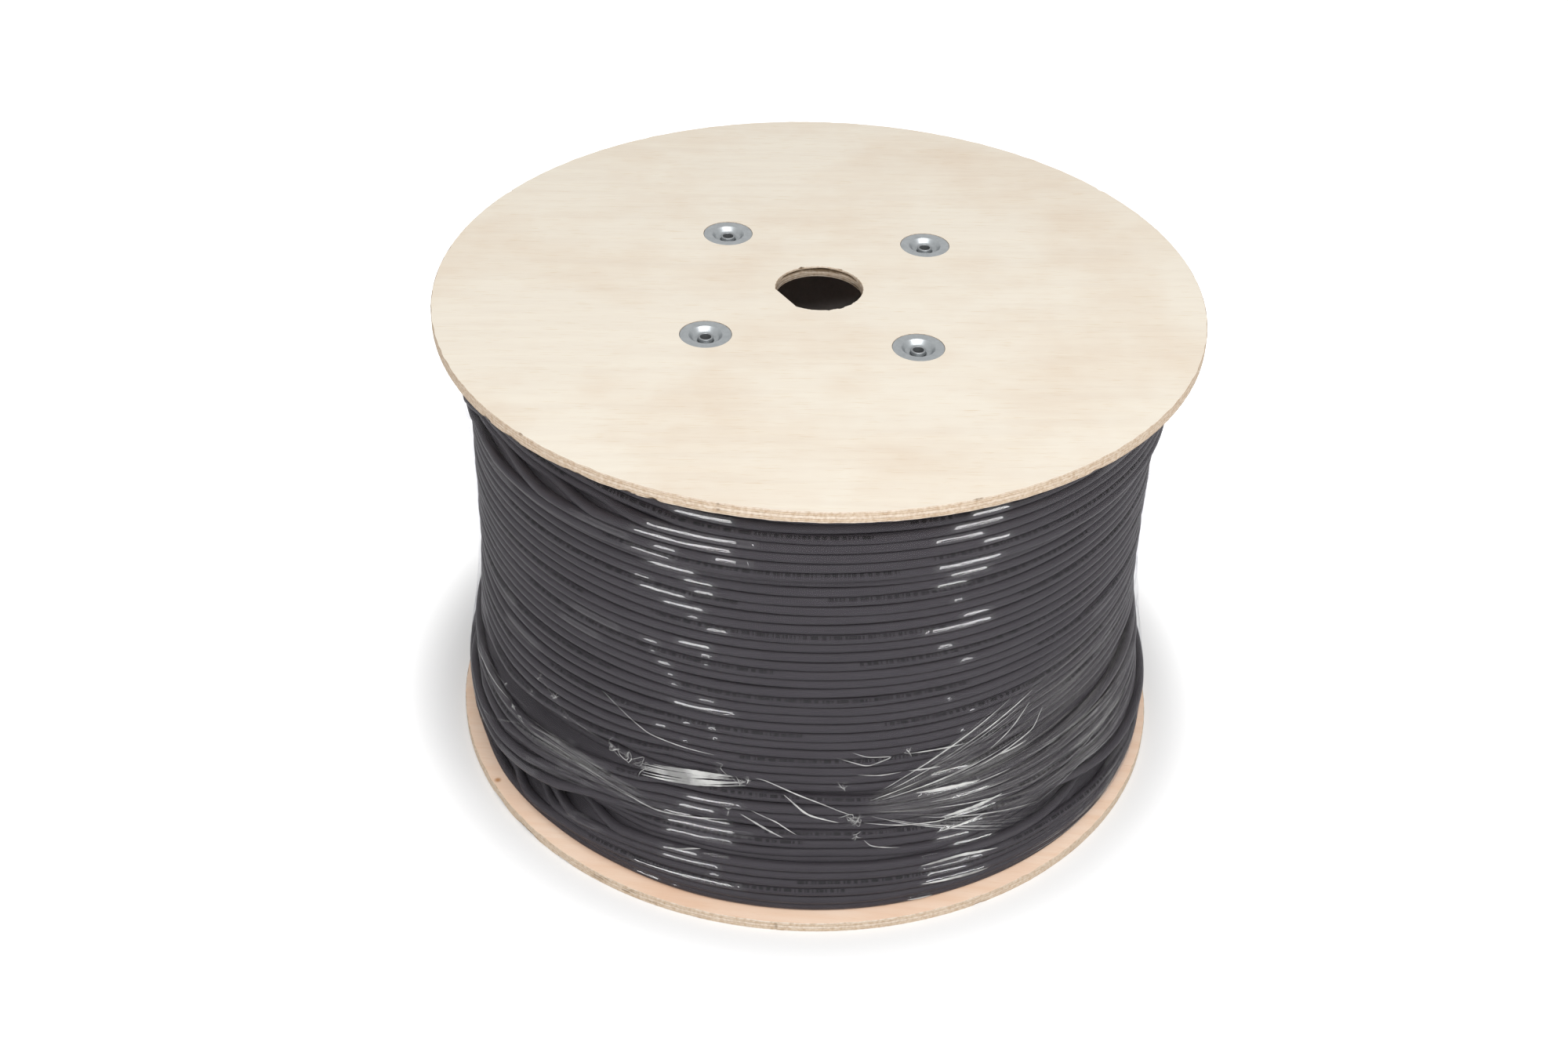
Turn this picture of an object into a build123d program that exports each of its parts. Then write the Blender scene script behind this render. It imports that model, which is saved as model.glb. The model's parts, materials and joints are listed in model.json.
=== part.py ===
"""Wooden cable drum, full, standing on end.

Two plywood flanges are held on a cardboard core by four steel tie tubes, whose ends are rolled over
inside dished washers. The cable is wound on the core in layers, with part layers beside the flanges,
and the winding is wrapped in stretch film. Lengths are in millimetres.
Origin: centre of the bottom face. +Z runs up the axle bore.
"""

import os

from build123d import *

# Drum
DRUM_HEIGHT = 355.0
FLANGE_DIAMETER = 530.0
FLANGE_THICKNESS = 8.0
FLANGE_EDGE_BREAK = 0.6
AXLE_BORE_DIAMETER = 60.0

# Core tube, let into a groove in each flange
CORE_DIAMETER = 236.0
CORE_WALL = 6.0
CORE_GROOVE_DEPTH = 2.5

# Winding: one cable in full layers, with part layers on top of them beside the flanges
CABLE_DIAMETER = 7.5
FULL_LAYERS_DIAMETER = 483.0
LAYER_RISE = 6.0
BOTTOM_BAND_LAYERS = 2
BOTTOM_BAND_TURNS = 6
LOWER_BAND_TURNS = 7
TOP_BAND_TURNS = 7

# Grooves between the turns: one is cut for every few turns, and the others are left flat
TURNS_PER_GROOVE = 3
TURN_GROOVE_DEPTH = 2.9
TURN_GROOVE_WIDTH = 6.0

# Stretch film: many turns of thin film, pressed into one skin
FILM_THICKNESS = 0.4

# Dished washers, sunk in the outer faces of the flanges
WASHER_DIAMETER = 35.0
WASHER_SHEET = 1.2
WASHER_SINK = 0.2
DISH_DEPTH = 4.0
DISH_MOUTH_DIAMETER = 23.0
DISH_FLOOR_DIAMETER = 15.0
DISH_TO_CORE_GAP = 0.5

# Tie tubes, on a circle just inside the core
TIE_COUNT = 4
TIE_START_ANGLE = 42.0
TUBE_DIAMETER = 9.0
TUBE_WALL = 0.8
TUBE_HOLE_CLEARANCE = 0.15
ROLLED_END_DIAMETER = 12.0
ROLLED_END_HEIGHT = 1.2
ROLLED_END_SLOPE_SHARE = 0.25

# Radii
core_radius = CORE_DIAMETER / 2
core_bore_radius = core_radius - CORE_WALL
washer_radius = WASHER_DIAMETER / 2
dish_mouth_radius = DISH_MOUTH_DIAMETER / 2
tie_circle_radius = core_bore_radius - DISH_TO_CORE_GAP - dish_mouth_radius
tube_radius = TUBE_DIAMETER / 2
tube_bore_radius = tube_radius - TUBE_WALL
tube_hole_radius = tube_radius + TUBE_HOLE_CLEARANCE
full_layers_radius = FULL_LAYERS_DIAMETER / 2
part_layer_radius = full_layers_radius + LAYER_RISE
bottom_band_radius = full_layers_radius + BOTTOM_BAND_LAYERS * LAYER_RISE

# Heights, from the floor up
winding_bottom = FLANGE_THICKNESS
bottom_band_top = winding_bottom + BOTTOM_BAND_TURNS * CABLE_DIAMETER
lower_band_bottom = bottom_band_top + CABLE_DIAMETER
lower_band_top = lower_band_bottom + LOWER_BAND_TURNS * CABLE_DIAMETER
full_layers_bottom = lower_band_top + CABLE_DIAMETER
winding_top = DRUM_HEIGHT - FLANGE_THICKNESS
top_band_bottom = winding_top - TOP_BAND_TURNS * CABLE_DIAMETER
full_layers_top = top_band_bottom - CABLE_DIAMETER
washer_underside = DRUM_HEIGHT - WASHER_SINK - WASHER_SHEET
dish_underside = washer_underside - DISH_DEPTH
dish_floor = dish_underside + WASHER_SHEET



def band_outside(radius, bottom, top):
    """Outside of a band of turns, from its bottom edge to its top one, with its grooves."""
    points = [(radius, bottom)]
    spacing = TURNS_PER_GROOVE * CABLE_DIAMETER
    groove = bottom + spacing
    while groove < top - CABLE_DIAMETER:
        points.append((radius, groove - TURN_GROOVE_WIDTH / 2))
        points.append((radius - TURN_GROOVE_DEPTH, groove))
        points.append((radius, groove + TURN_GROOVE_WIDTH / 2))
        groove += spacing
    return points + [(radius, top)]


# Outside of the winding, from the bottom flange to the top one, as radius and height
winding_outside = [
    *band_outside(bottom_band_radius, winding_bottom, bottom_band_top),
    (full_layers_radius, (bottom_band_top + lower_band_bottom) / 2),
    *band_outside(part_layer_radius, lower_band_bottom, lower_band_top),
    *band_outside(full_layers_radius, full_layers_bottom, full_layers_top),
    *band_outside(part_layer_radius, top_band_bottom, winding_top),
]

# The film is pulled straight over the grooves and over the valley above the bottom band
film_inside = [
    (bottom_band_radius, winding_bottom),
    (bottom_band_radius, bottom_band_top),
    (part_layer_radius, lower_band_top),
    (full_layers_radius, full_layers_bottom),
    (full_layers_radius, full_layers_top),
    (part_layer_radius, top_band_bottom),
    (part_layer_radius, winding_top),
]

# Underside of a washer of the top flange, from its edge to its hole, as radius and height
washer_underside_line = [
    (washer_radius, washer_underside),
    (dish_mouth_radius, washer_underside),
    (DISH_FLOOR_DIAMETER / 2, dish_underside),
    (tube_hole_radius, dish_underside),
]

tie_places = PolarLocations(tie_circle_radius, TIE_COUNT, start_angle=TIE_START_ANGLE).locations
middle_plane = Plane.XY.offset(DRUM_HEIGHT / 2)

# Top flange: axle bore, groove for the core in the inner face, and holes for the tie tubes, each with
# room for the dish and a recess for the edge of its washer
with BuildPart() as top_flange:
    with BuildSketch(Plane.XY.offset(winding_top)):
        Circle(FLANGE_DIAMETER / 2)
        Circle(AXLE_BORE_DIAMETER / 2, mode=Mode.SUBTRACT)
    extrude(amount=FLANGE_THICKNESS)
    rim = top_flange.faces().filter_by(GeomType.CYLINDER).sort_by(SortBy.AREA)[-1]
    chamfer(rim.edges().filter_by(GeomType.CIRCLE), length=FLANGE_EDGE_BREAK)
    with BuildSketch(Plane.XY.offset(winding_top)):
        Circle(core_radius)
        Circle(core_bore_radius, mode=Mode.SUBTRACT)
    extrude(amount=CORE_GROOVE_DEPTH, mode=Mode.SUBTRACT)
    with Locations(Plane.XY.offset(DRUM_HEIGHT)):
        with PolarLocations(tie_circle_radius, TIE_COUNT, start_angle=TIE_START_ANGLE):
            CounterBoreHole(
                radius=dish_mouth_radius,
                counter_bore_radius=washer_radius,
                counter_bore_depth=WASHER_SINK + WASHER_SHEET,
                depth=FLANGE_THICKNESS,
            )

# Bottom flange: the same board, turned over
with BuildPart() as bottom_flange:
    mirror(top_flange.part, about=middle_plane)

# Core tube, seated in both grooves
with BuildPart() as core_tube:
    with BuildSketch(Plane.XY.offset(winding_bottom - CORE_GROOVE_DEPTH)):
        Circle(core_radius)
        Circle(core_bore_radius, mode=Mode.SUBTRACT)
    extrude(amount=winding_top - winding_bottom + 2 * CORE_GROOVE_DEPTH)

# Wound cable: one turned solid, from the core out to the last turns
with BuildPart() as wound_cable:
    with BuildSketch(Plane.XZ):
        with BuildLine():
            Polyline(*winding_outside, (core_radius, winding_top), (core_radius, winding_bottom), close=True)
        make_face()
    revolve(axis=Axis.Z)

# Stretch film: a tight skin round the winding, from flange to flange
with BuildPart() as stretch_film:
    with BuildSketch(Plane.XZ):
        with BuildLine():
            Polyline(*film_inside)
            offset(amount=FILM_THICKNESS, kind=Kind.INTERSECTION, side=Side.RIGHT)
        make_face()
    revolve(axis=Axis.Z)

# Dished washer of the top flange, pressed from sheet, on the drum's axis
with BuildPart() as dished_washer:
    with BuildSketch(Plane.XZ):
        with BuildLine():
            Polyline(*washer_underside_line)
            offset(amount=WASHER_SHEET, kind=Kind.INTERSECTION, side=Side.RIGHT)
        make_face()
    revolve(axis=Axis.Z)

with BuildPart() as cup_washers_top:
    with Locations(*tie_places):
        add(dished_washer.part)

with BuildPart() as cup_washers_bottom:
    mirror(cup_washers_top.part, about=middle_plane)

# Tie tube on the drum's axis: each end is rolled out over the floor of its dish
rolled_radius = ROLLED_END_DIAMETER / 2
rolled_slope = ROLLED_END_SLOPE_SHARE * (rolled_radius - tube_bore_radius)
upper_end = [
    (tube_bore_radius, dish_floor),
    (tube_bore_radius + rolled_slope, dish_floor + ROLLED_END_HEIGHT),
    (rolled_radius - rolled_slope, dish_floor + ROLLED_END_HEIGHT),
    (rolled_radius, dish_floor),
    (tube_radius, dish_floor),
]
lower_end = [(radius, DRUM_HEIGHT - height) for radius, height in reversed(upper_end)]
with BuildPart() as tie_tube:
    with BuildSketch(Plane.XZ):
        with BuildLine():
            Polyline(*upper_end, *lower_end, close=True)
        make_face()
    revolve(axis=Axis.Z)

pieces = {
    "bottom_flange": bottom_flange.part,
    "top_flange": top_flange.part,
    "core_tube": core_tube.part,
    "wound_cable": wound_cable.part,
    "stretch_film": stretch_film.part,
    "cup_washers_top": cup_washers_top.part,
    "cup_washers_bottom": cup_washers_bottom.part,
}

# One tie tube at each place of the circle
for number, place in enumerate(tie_places, start=1):
    with BuildPart() as tube_in_place:
        with Locations(place):
            add(tie_tube.part)
    pieces[f"tie_tube_{number}"] = tube_in_place.part

os.makedirs("parts", exist_ok=True)
for name, piece in pieces.items():
    piece.label = name
    export_step(piece, f"parts/{name}.step")
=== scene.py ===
"""Wooden cable drum, full, standing on end under clear stretch film."""

import json
import math

import bmesh
import bpy
import numpy as np
from mathutils import Matrix, Vector


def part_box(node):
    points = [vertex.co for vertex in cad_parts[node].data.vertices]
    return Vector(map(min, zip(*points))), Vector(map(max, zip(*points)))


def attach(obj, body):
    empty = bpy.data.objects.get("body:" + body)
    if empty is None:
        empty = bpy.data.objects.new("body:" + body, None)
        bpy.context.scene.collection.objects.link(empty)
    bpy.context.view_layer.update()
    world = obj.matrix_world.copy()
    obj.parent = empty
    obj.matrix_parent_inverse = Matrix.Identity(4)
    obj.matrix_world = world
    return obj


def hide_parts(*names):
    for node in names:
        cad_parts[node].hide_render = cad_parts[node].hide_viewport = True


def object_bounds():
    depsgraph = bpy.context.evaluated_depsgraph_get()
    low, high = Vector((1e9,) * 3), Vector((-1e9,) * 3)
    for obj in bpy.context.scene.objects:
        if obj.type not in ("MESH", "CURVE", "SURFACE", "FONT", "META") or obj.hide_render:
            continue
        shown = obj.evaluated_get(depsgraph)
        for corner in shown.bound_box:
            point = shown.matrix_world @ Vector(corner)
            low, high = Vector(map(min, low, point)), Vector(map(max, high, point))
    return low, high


# The frame: the drum's solids in metres, standing on the floor at the origin with the axle bore
# along +Z. Every piece below takes its place from them.
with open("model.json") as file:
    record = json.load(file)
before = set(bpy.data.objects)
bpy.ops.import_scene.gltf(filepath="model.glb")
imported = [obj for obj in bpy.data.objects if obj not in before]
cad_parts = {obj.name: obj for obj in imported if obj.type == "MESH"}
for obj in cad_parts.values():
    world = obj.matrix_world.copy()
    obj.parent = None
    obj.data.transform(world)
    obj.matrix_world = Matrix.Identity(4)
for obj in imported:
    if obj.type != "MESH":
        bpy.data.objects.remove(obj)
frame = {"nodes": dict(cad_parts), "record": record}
cad_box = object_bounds()
MM = 0.001

# Flanges: two round boards, sawn from plywood of five veneers glued crosswise. Each has the axle
# bore, a groove for the core tube and four sunk seats for the washers; the edges are left as sawn.
PLY_SHARES = (0.13, 0.23, 0.28, 0.23, 0.13)
GLUE_LINE = 0.42 * MM
GLUE_RECESS = 0.16 * MM
EDGE_BREAK = 0.45 * MM
SAW_ROUGHNESS = 0.10 * MM
RIM_STEPS = 960
BORE_STEPS = 160
SEAT_STEPS = 72
SEAT_RADIUS = 17.6 * MM
SEAT_DEPTH = 1.4 * MM
DISH_HOLE_RADIUS = 11.5 * MM
CORE_WALL = 6.0 * MM
GROOVE_STEPS = 240
SHARP_ANGLE = math.radians(60)
# Painted shade: the inner faces are darkened to a reddish tone in a ring next to the winding, which
# shades them, and the ring's edge fades between two radii
SHADE_RING_EDGE = (246 * MM, 255 * MM)
SHADE_RING_SHARE = 0.75
KNOT_RADII = (1.0 * MM, 3.2 * MM)
KNOT_SHARE = 0.8
# Knocks on the edges: angle, length along the edge in mm, share of the thickness from the inner
# face, half height in mm, depth in mm
TOP_RIM_KNOCKS = (
    (-141, 9, 0.0, 2.2, 1.1), (-135, 16, 0.05, 1.6, 0.8), (-133, 5, 1.0, 1.0, 0.7),
    (-123, 22, 0.02, 1.2, 0.7), (-114.6, 12, 0.0, 1.8, 0.9), (-111, 8, 0.05, 1.6, 0.9),
    (-102, 2.4, 0.85, 1.2, 0.9), (-102, 2.4, 0.35, 1.3, 1.0), (-68, 7, 1.0, 0.9, 0.7),
    (-49, 10, 0.0, 1.3, 0.7), (38, 8, 1.0, 1.3, 0.9), (96, 14, 0.0, 1.6, 0.9),
    (151, 6, 1.0, 1.1, 0.8),
)
BOTTOM_RIM_KNOCKS = (
    (-146, 26, 1.0, 1.4, 0.8), (-138, 30, 0.9, 1.5, 0.9), (-129, 18, 1.0, 1.2, 0.7),
    (-122.4, 10, 0.76, 0.6, 0.9), (-121.6, 13, 0.50, 0.6, 1.0), (-120.8, 9, 0.26, 0.5, 0.8),
    (-116.9, 8, 0.64, 0.6, 0.9), (-116.2, 11, 0.40, 0.6, 1.0), (-115.6, 6, 0.18, 0.5, 0.8),
    (-112.5, 12, 0.72, 0.5, 0.7), (-93, 1.6, 0.5, 3.4, 0.5), (-61, 12, 0.9, 1.0, 0.6),
    (24, 10, 1.0, 1.4, 0.9), (83, 16, 0.3, 1.6, 1.0), (140, 8, 0.9, 1.3, 0.8),
)
BORE_KNOCKS = (
    (-60, 5, 1.0, 1.2, 0.8), (-45, 3, 1.0, 1.0, 0.7), (-76, 4, 1.0, 0.9, 0.6),
    (84, 34, 0.64, 1.7, 1.9), (50, 22, 0.66, 1.0, 1.3), (128, 26, 0.70, 1.0, 1.4),
    (62, 4, 1.0, 0.8, 0.6), (115, 5, 0.95, 0.9, 0.8), (30, 14, 0.1, 0.8, 0.7),
)
# Splinter left across the bore's upper edge by the hole saw: angle of its middle, half its angle,
# share of the thickness that it reaches down to
SPLINTER_ANGLE, SPLINTER_HALF, SPLINTER_REACH = 213, 25, 0.6


def srgb(code):
    """Turns a hex colour into linear red, green, blue and alpha."""
    parts = [int(code[i : i + 2], 16) / 255 for i in (1, 3, 5)]
    return [p / 12.92 if p <= 0.04045 else ((p + 0.055) / 1.055) ** 2.4 for p in parts] + [1.0]


def add_node(tree, kind, inputs=None, **settings):
    """Adds a node, with its settings, and its inputs fed by values, sockets or nodes, each node by
    its first output."""
    node = tree.nodes.new(kind)
    for name, value in settings.items():
        setattr(node, name, value)
    for key, value in (inputs or {}).items():
        if isinstance(value, bpy.types.Node):
            value = value.outputs[0]
        if isinstance(value, bpy.types.NodeSocket):
            tree.links.new(value, node.inputs[key])
        else:
            node.inputs[key].default_value = value
    return node


def new_material(name):
    """An empty material, with its tree and the surface socket of its output."""
    material = bpy.data.materials.new(name)
    material.use_nodes = True
    material.node_tree.nodes.clear()
    output = add_node(material.node_tree, "ShaderNodeOutputMaterial")
    return material, material.node_tree, output.inputs["Surface"]


def set_ramp(node, stops):
    """Gives a colour ramp its stops, as place and hex colour."""
    ramp = node.color_ramp
    while len(ramp.elements) < len(stops):
        ramp.elements.new(0.5)
    for element, (place, code) in zip(ramp.elements, stops):
        element.position = place
        element.color = srgb(code)


def ripple(angle, seed, low, high, count):
    """A wavy line round the axis, about -1 to 1, of count waves with low to high crests each."""
    rng = np.random.default_rng(seed)
    waves = rng.integers(low, high + 1, count)
    phases = rng.uniform(0, 2 * math.pi, count)
    heights = rng.uniform(0.4, 1, count)
    total = sum(h * np.cos(w * angle + p) for w, p, h in zip(waves, phases, heights))
    return total / math.sqrt((heights**2).sum())


def off_angle(angle, degrees):
    """Angle from a direction given in degrees, at most half a turn either way."""
    return np.angle(np.exp(1j * (angle - math.radians(degrees))))


def sawn_edge(mesh_data, radius, steps, inward, knocks, thickness, place, seed):
    """Rows of vertices up a sawn plywood edge, from the inner face to the outer one."""
    bm, glue_layer, ply_layer, knock_layer = mesh_data
    angle = np.linspace(0, 2 * math.pi, steps, endpoint=False)
    bounds = np.concatenate([[0], np.cumsum(PLY_SHARES)]) * thickness
    rows = [(0.0, 0, 0, EDGE_BREAK)]
    for ply, (start, end) in enumerate(zip(bounds, bounds[1:])):
        first = max(start + GLUE_LINE / 2, EDGE_BREAK)
        last = min(end - GLUE_LINE / 2, thickness - EDGE_BREAK)
        rows += [(first, ply, 0, 0), ((first + last) / 2, ply, 0, 0), (last, ply, 0, 0)]
        if ply < len(PLY_SHARES) - 1:
            rows.append((end, ply, 1, GLUE_RECESS))
    rows.append((thickness, len(PLY_SHARES) - 1, 0, EDGE_BREAK))
    made = []
    for height, ply, glue, recess in rows:
        tear = np.clip(ripple(angle, seed + 7 * ply, 20, 70, 9), 0, 3) ** 2 * 0.5
        inset = recess * (1 + 0.4 * ripple(angle, seed + 90, 30, 140, 8))
        inset = inset + SAW_ROUGHNESS * (0.5 * ripple(angle, seed + 31 * ply, 90, 400, 14) + tear)
        knocked = np.zeros(steps)
        for centre, length, share, half, depth in knocks:
            off = off_angle(angle, centre) * radius / (length * MM / 2)
            up = (height - share * thickness) / (half * MM)
            ragged = 1 + 0.35 * ripple(angle, seed + int(length * 10), 120, 420, 9)
            bite = np.clip(1 - off**2 - up**2, 0, 1) ** 0.6 * ragged
            knocked = np.maximum(knocked, bite * depth * MM)
        reach = radius + (inset + knocked) * (1 if inward else -1)
        if inward and height > SPLINTER_REACH * thickness:
            off = off_angle(angle, SPLINTER_ANGLE)
            half = math.radians(SPLINTER_HALF)
            straight = radius * math.cos(half) / np.cos(np.clip(off, -half, half))
            reach = np.where(abs(off) < half, np.minimum(reach, straight), reach)
        row = []
        for a, r, k in zip(angle, reach, knocked):
            vert = bm.verts.new((r * math.cos(a), r * math.sin(a), place(height)))
            vert[glue_layer] = glue
            vert[ply_layer] = abs(math.cos(a)) if ply % 2 == 0 else abs(math.sin(a))
            # How deep the knock is, up to a millimetre, which sets the painted shade in it
            vert[knock_layer] = min(k / MM, 1)
            row.append(vert)
        made.append(row)
    return made


def ring_of(bm, centre, radius, steps, height):
    """A ring of vertices at one height."""
    turns = [2 * math.pi * i / steps for i in range(steps)]
    return [
        bm.verts.new((centre[0] + radius * math.cos(t), centre[1] + radius * math.sin(t), height))
        for t in turns
    ]


def skin(bm, lower, upper, slot=0):
    """Faces between two rings of the same count."""
    count = len(lower)
    for i in range(count):
        j = (i + 1) % count
        face = bm.faces.new((lower[i], lower[j], upper[j], upper[i]))
        face.material_index = slot


def sunk_wall(bm, centre, steps, line):
    """Walls of a recess, turned from a line of radius and height: its first and last ring."""
    rings = [ring_of(bm, centre, radius, steps, height) for radius, height in line]
    for lower, upper in zip(rings, rings[1:]):
        skin(bm, lower, upper, 2)
    return rings[0], rings[-1]


def fill_between(bm, rings, slot):
    """One flat face with holes, from its outline and the outlines of its holes."""
    edges = []
    for ring in rings:
        for i, vert in enumerate(ring):
            after = ring[(i + 1) % len(ring)]
            edges.append(bm.edges.get((vert, after)) or bm.edges.new((vert, after)))
    made = bmesh.ops.triangle_fill(bm, edges=edges, use_beauty=True)
    for item in made["geom"]:
        if isinstance(item, bmesh.types.BMFace):
            item.material_index = slot


def add_object(name, data):
    """Makes an object of this data and puts it in the scene."""
    made = bpy.data.objects.new(name, data)
    bpy.context.scene.collection.objects.link(made)
    return made


def finish_piece(name, mesh, materials, replaced):
    """Makes the piece's object, gives it its materials, rides it on the drum and hides the solids
    that it replaces.
    """
    piece = add_object(name, mesh)
    for material in materials:
        if material.name not in mesh.materials:
            mesh.materials.append(material)
    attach(piece, "root")
    if replaced:
        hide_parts(*replaced)
    return piece


tie_places = []
for number in range(1, 5):
    low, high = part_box(f"tie_tube_{number}")
    tie_places.append(((low[0] + high[0]) / 2, (low[1] + high[1]) / 2))
axle_bore = next(m for m in frame["record"]["mounts"] if m["name"] == "axle_bore")
core_low, core_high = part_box("core_tube")


def flange_mesh(name, inner_height, outer_height, groove_height, knocks, seed):
    """One flange as a closed board: faces 0 outer, 1 inner, 2 sawn edges."""
    thickness = abs(outer_height - inner_height)
    up = 1 if outer_height > inner_height else -1
    bm = bmesh.new()
    layers = [bm.verts.layers.float.new(n) for n in ("glue", "end_grain", "knock")]
    mesh_data = (bm, *layers)

    def place(height):
        return inner_height + up * height

    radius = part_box("top_flange")[1][0]
    bore = axle_bore["dims"]["r_mm"] * MM
    rim = sawn_edge(mesh_data, radius, RIM_STEPS, False, knocks, thickness, place, seed)
    hole = sawn_edge(mesh_data, bore, BORE_STEPS, True, BORE_KNOCKS, thickness, place, seed + 5)
    for wall in (rim, hole):
        for lower, upper in zip(wall, wall[1:]):
            skin(bm, lower, upper, 2)
    seat_floor = outer_height - up * SEAT_DEPTH
    seat_line = (
        (SEAT_RADIUS, outer_height),
        (SEAT_RADIUS, seat_floor),
        (DISH_HOLE_RADIUS, seat_floor),
        (DISH_HOLE_RADIUS, inner_height),
    )
    seats = [sunk_wall(bm, centre, SEAT_STEPS, seat_line) for centre in tie_places]
    tops, bottoms = zip(*seats)
    groove_line = (
        (core_high[0], inner_height),
        (core_high[0], groove_height),
        (core_high[0] - CORE_WALL, groove_height),
        (core_high[0] - CORE_WALL, inner_height),
    )
    outside, inside = sunk_wall(bm, (0, 0), GROOVE_STEPS, groove_line)
    fill_between(bm, [rim[-1], hole[-1], *tops], 0)
    fill_between(bm, [rim[0], outside], 1)
    fill_between(bm, [inside, hole[0], *bottoms], 1)
    bmesh.ops.recalc_face_normals(bm, faces=bm.faces)
    for face in bm.faces:
        face.smooth = face.material_index == 2
    for edge in bm.edges:
        kinds = {face.material_index for face in edge.link_faces}
        edge.smooth = len(kinds) == 1 and edge.calc_face_angle(0) < SHARP_ANGLE
    mesh = bpy.data.meshes.new(name)
    bm.to_mesh(mesh)
    bm.free()
    return mesh


def darken(tree, colour, texture, stops, share):
    """Multiplies a colour, by a share, with a ramp of these stops over a texture."""
    ramp = add_node(tree, "ShaderNodeValToRGB", {"Fac": texture})
    set_ramp(ramp, stops)
    return add_node(
        tree,
        "ShaderNodeMix",
        {0: share, 6: colour, 7: ramp},
        data_type="RGBA",
        blend_type="MULTIPLY",
    ).outputs[2]


def veneer(name, pale, deep, stain, tilt, shade_ring_colour=None, knot_place=None):
    """Rotary-cut face veneer, sanded: broad soft figure, fine pores along the grain, faint stains,
    and, where they are given, a reddish ring of painted shade next to the winding and one small
    knot."""
    material, tree, surface = new_material(name)
    place = add_node(tree, "ShaderNodeTexCoord").outputs["Object"]
    turned = add_node(
        tree, "ShaderNodeMapping", {"Vector": place, "Rotation": (0, 0, math.radians(tilt))}
    )
    along = add_node(
        tree, "ShaderNodeMapping", {"Vector": turned, "Scale": (1 / (110 * MM), 1 / (7 * MM), 1)}
    )
    fine = add_node(
        tree, "ShaderNodeMapping", {"Vector": turned, "Scale": (1 / (16 * MM), 1 / (0.9 * MM), 1)}
    )
    cloud = add_node(
        tree,
        "ShaderNodeTexNoise",
        {"Vector": turned, "Scale": 1 / (120 * MM), "Detail": 4.0, "Roughness": 0.6},
    )
    figure = add_node(
        tree,
        "ShaderNodeTexNoise",
        {"Vector": along, "Scale": 1.0, "Detail": 5.0, "Distortion": 0.6},
    )
    pores = add_node(tree, "ShaderNodeTexNoise", {"Vector": fine, "Scale": 1.0, "Detail": 3.0})
    wood = add_node(tree, "ShaderNodeValToRGB", {"Fac": figure})
    set_ramp(wood, [(0.30, deep), (0.62, pale)])
    colour = darken(tree, wood, cloud, [(0.32, stain), (0.56, "#FFFFFF")], 1.0)
    colour = darken(tree, colour, pores, [(0.26, "#EFE4D3"), (0.40, "#FFFFFF")], 0.6)
    flat = add_node(tree, "ShaderNodeVectorMath", {0: place, 1: (1, 1, 0)}, operation="MULTIPLY")
    # Painted shade: a reddish, darker ring next to the winding, where the winding shades the face
    if shade_ring_colour:
        reach = add_node(tree, "ShaderNodeVectorMath", {0: flat}, operation="LENGTH")
        ring = add_node(
            tree,
            "ShaderNodeMapRange",
            {
                "Value": reach.outputs["Value"],
                1: SHADE_RING_EDGE[0],
                2: SHADE_RING_EDGE[1],
                3: SHADE_RING_SHARE,
                4: 0.0,
            },
        )
        colour = add_node(
            tree, "ShaderNodeMix", {0: ring, 6: colour, 7: srgb(shade_ring_colour)}, data_type="RGBA"
        ).outputs[2]
    if knot_place:
        off = add_node(
            tree, "ShaderNodeVectorMath", {0: flat, 1: (*knot_place, 0)}, operation="DISTANCE"
        ).outputs["Value"]
        knot = add_node(
            tree,
            "ShaderNodeMapRange",
            {"Value": off, 1: KNOT_RADII[0], 2: KNOT_RADII[1], 3: KNOT_SHARE, 4: 0.0},
        )
        colour = add_node(
            tree, "ShaderNodeMix", {0: knot, 6: colour, 7: srgb("#B5793F")}, data_type="RGBA"
        ).outputs[2]
    bump = add_node(
        tree, "ShaderNodeBump", {"Height": pores, "Strength": 0.08, "Distance": 0.3 * MM}
    )
    shader = add_node(
        tree,
        "ShaderNodeBsdfPrincipled",
        {"Base Color": colour, "Roughness": 0.62, "Specular IOR Level": 0.25, "Normal": bump},
    )
    tree.links.new(shader.outputs[0], surface)
    return material


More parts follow.
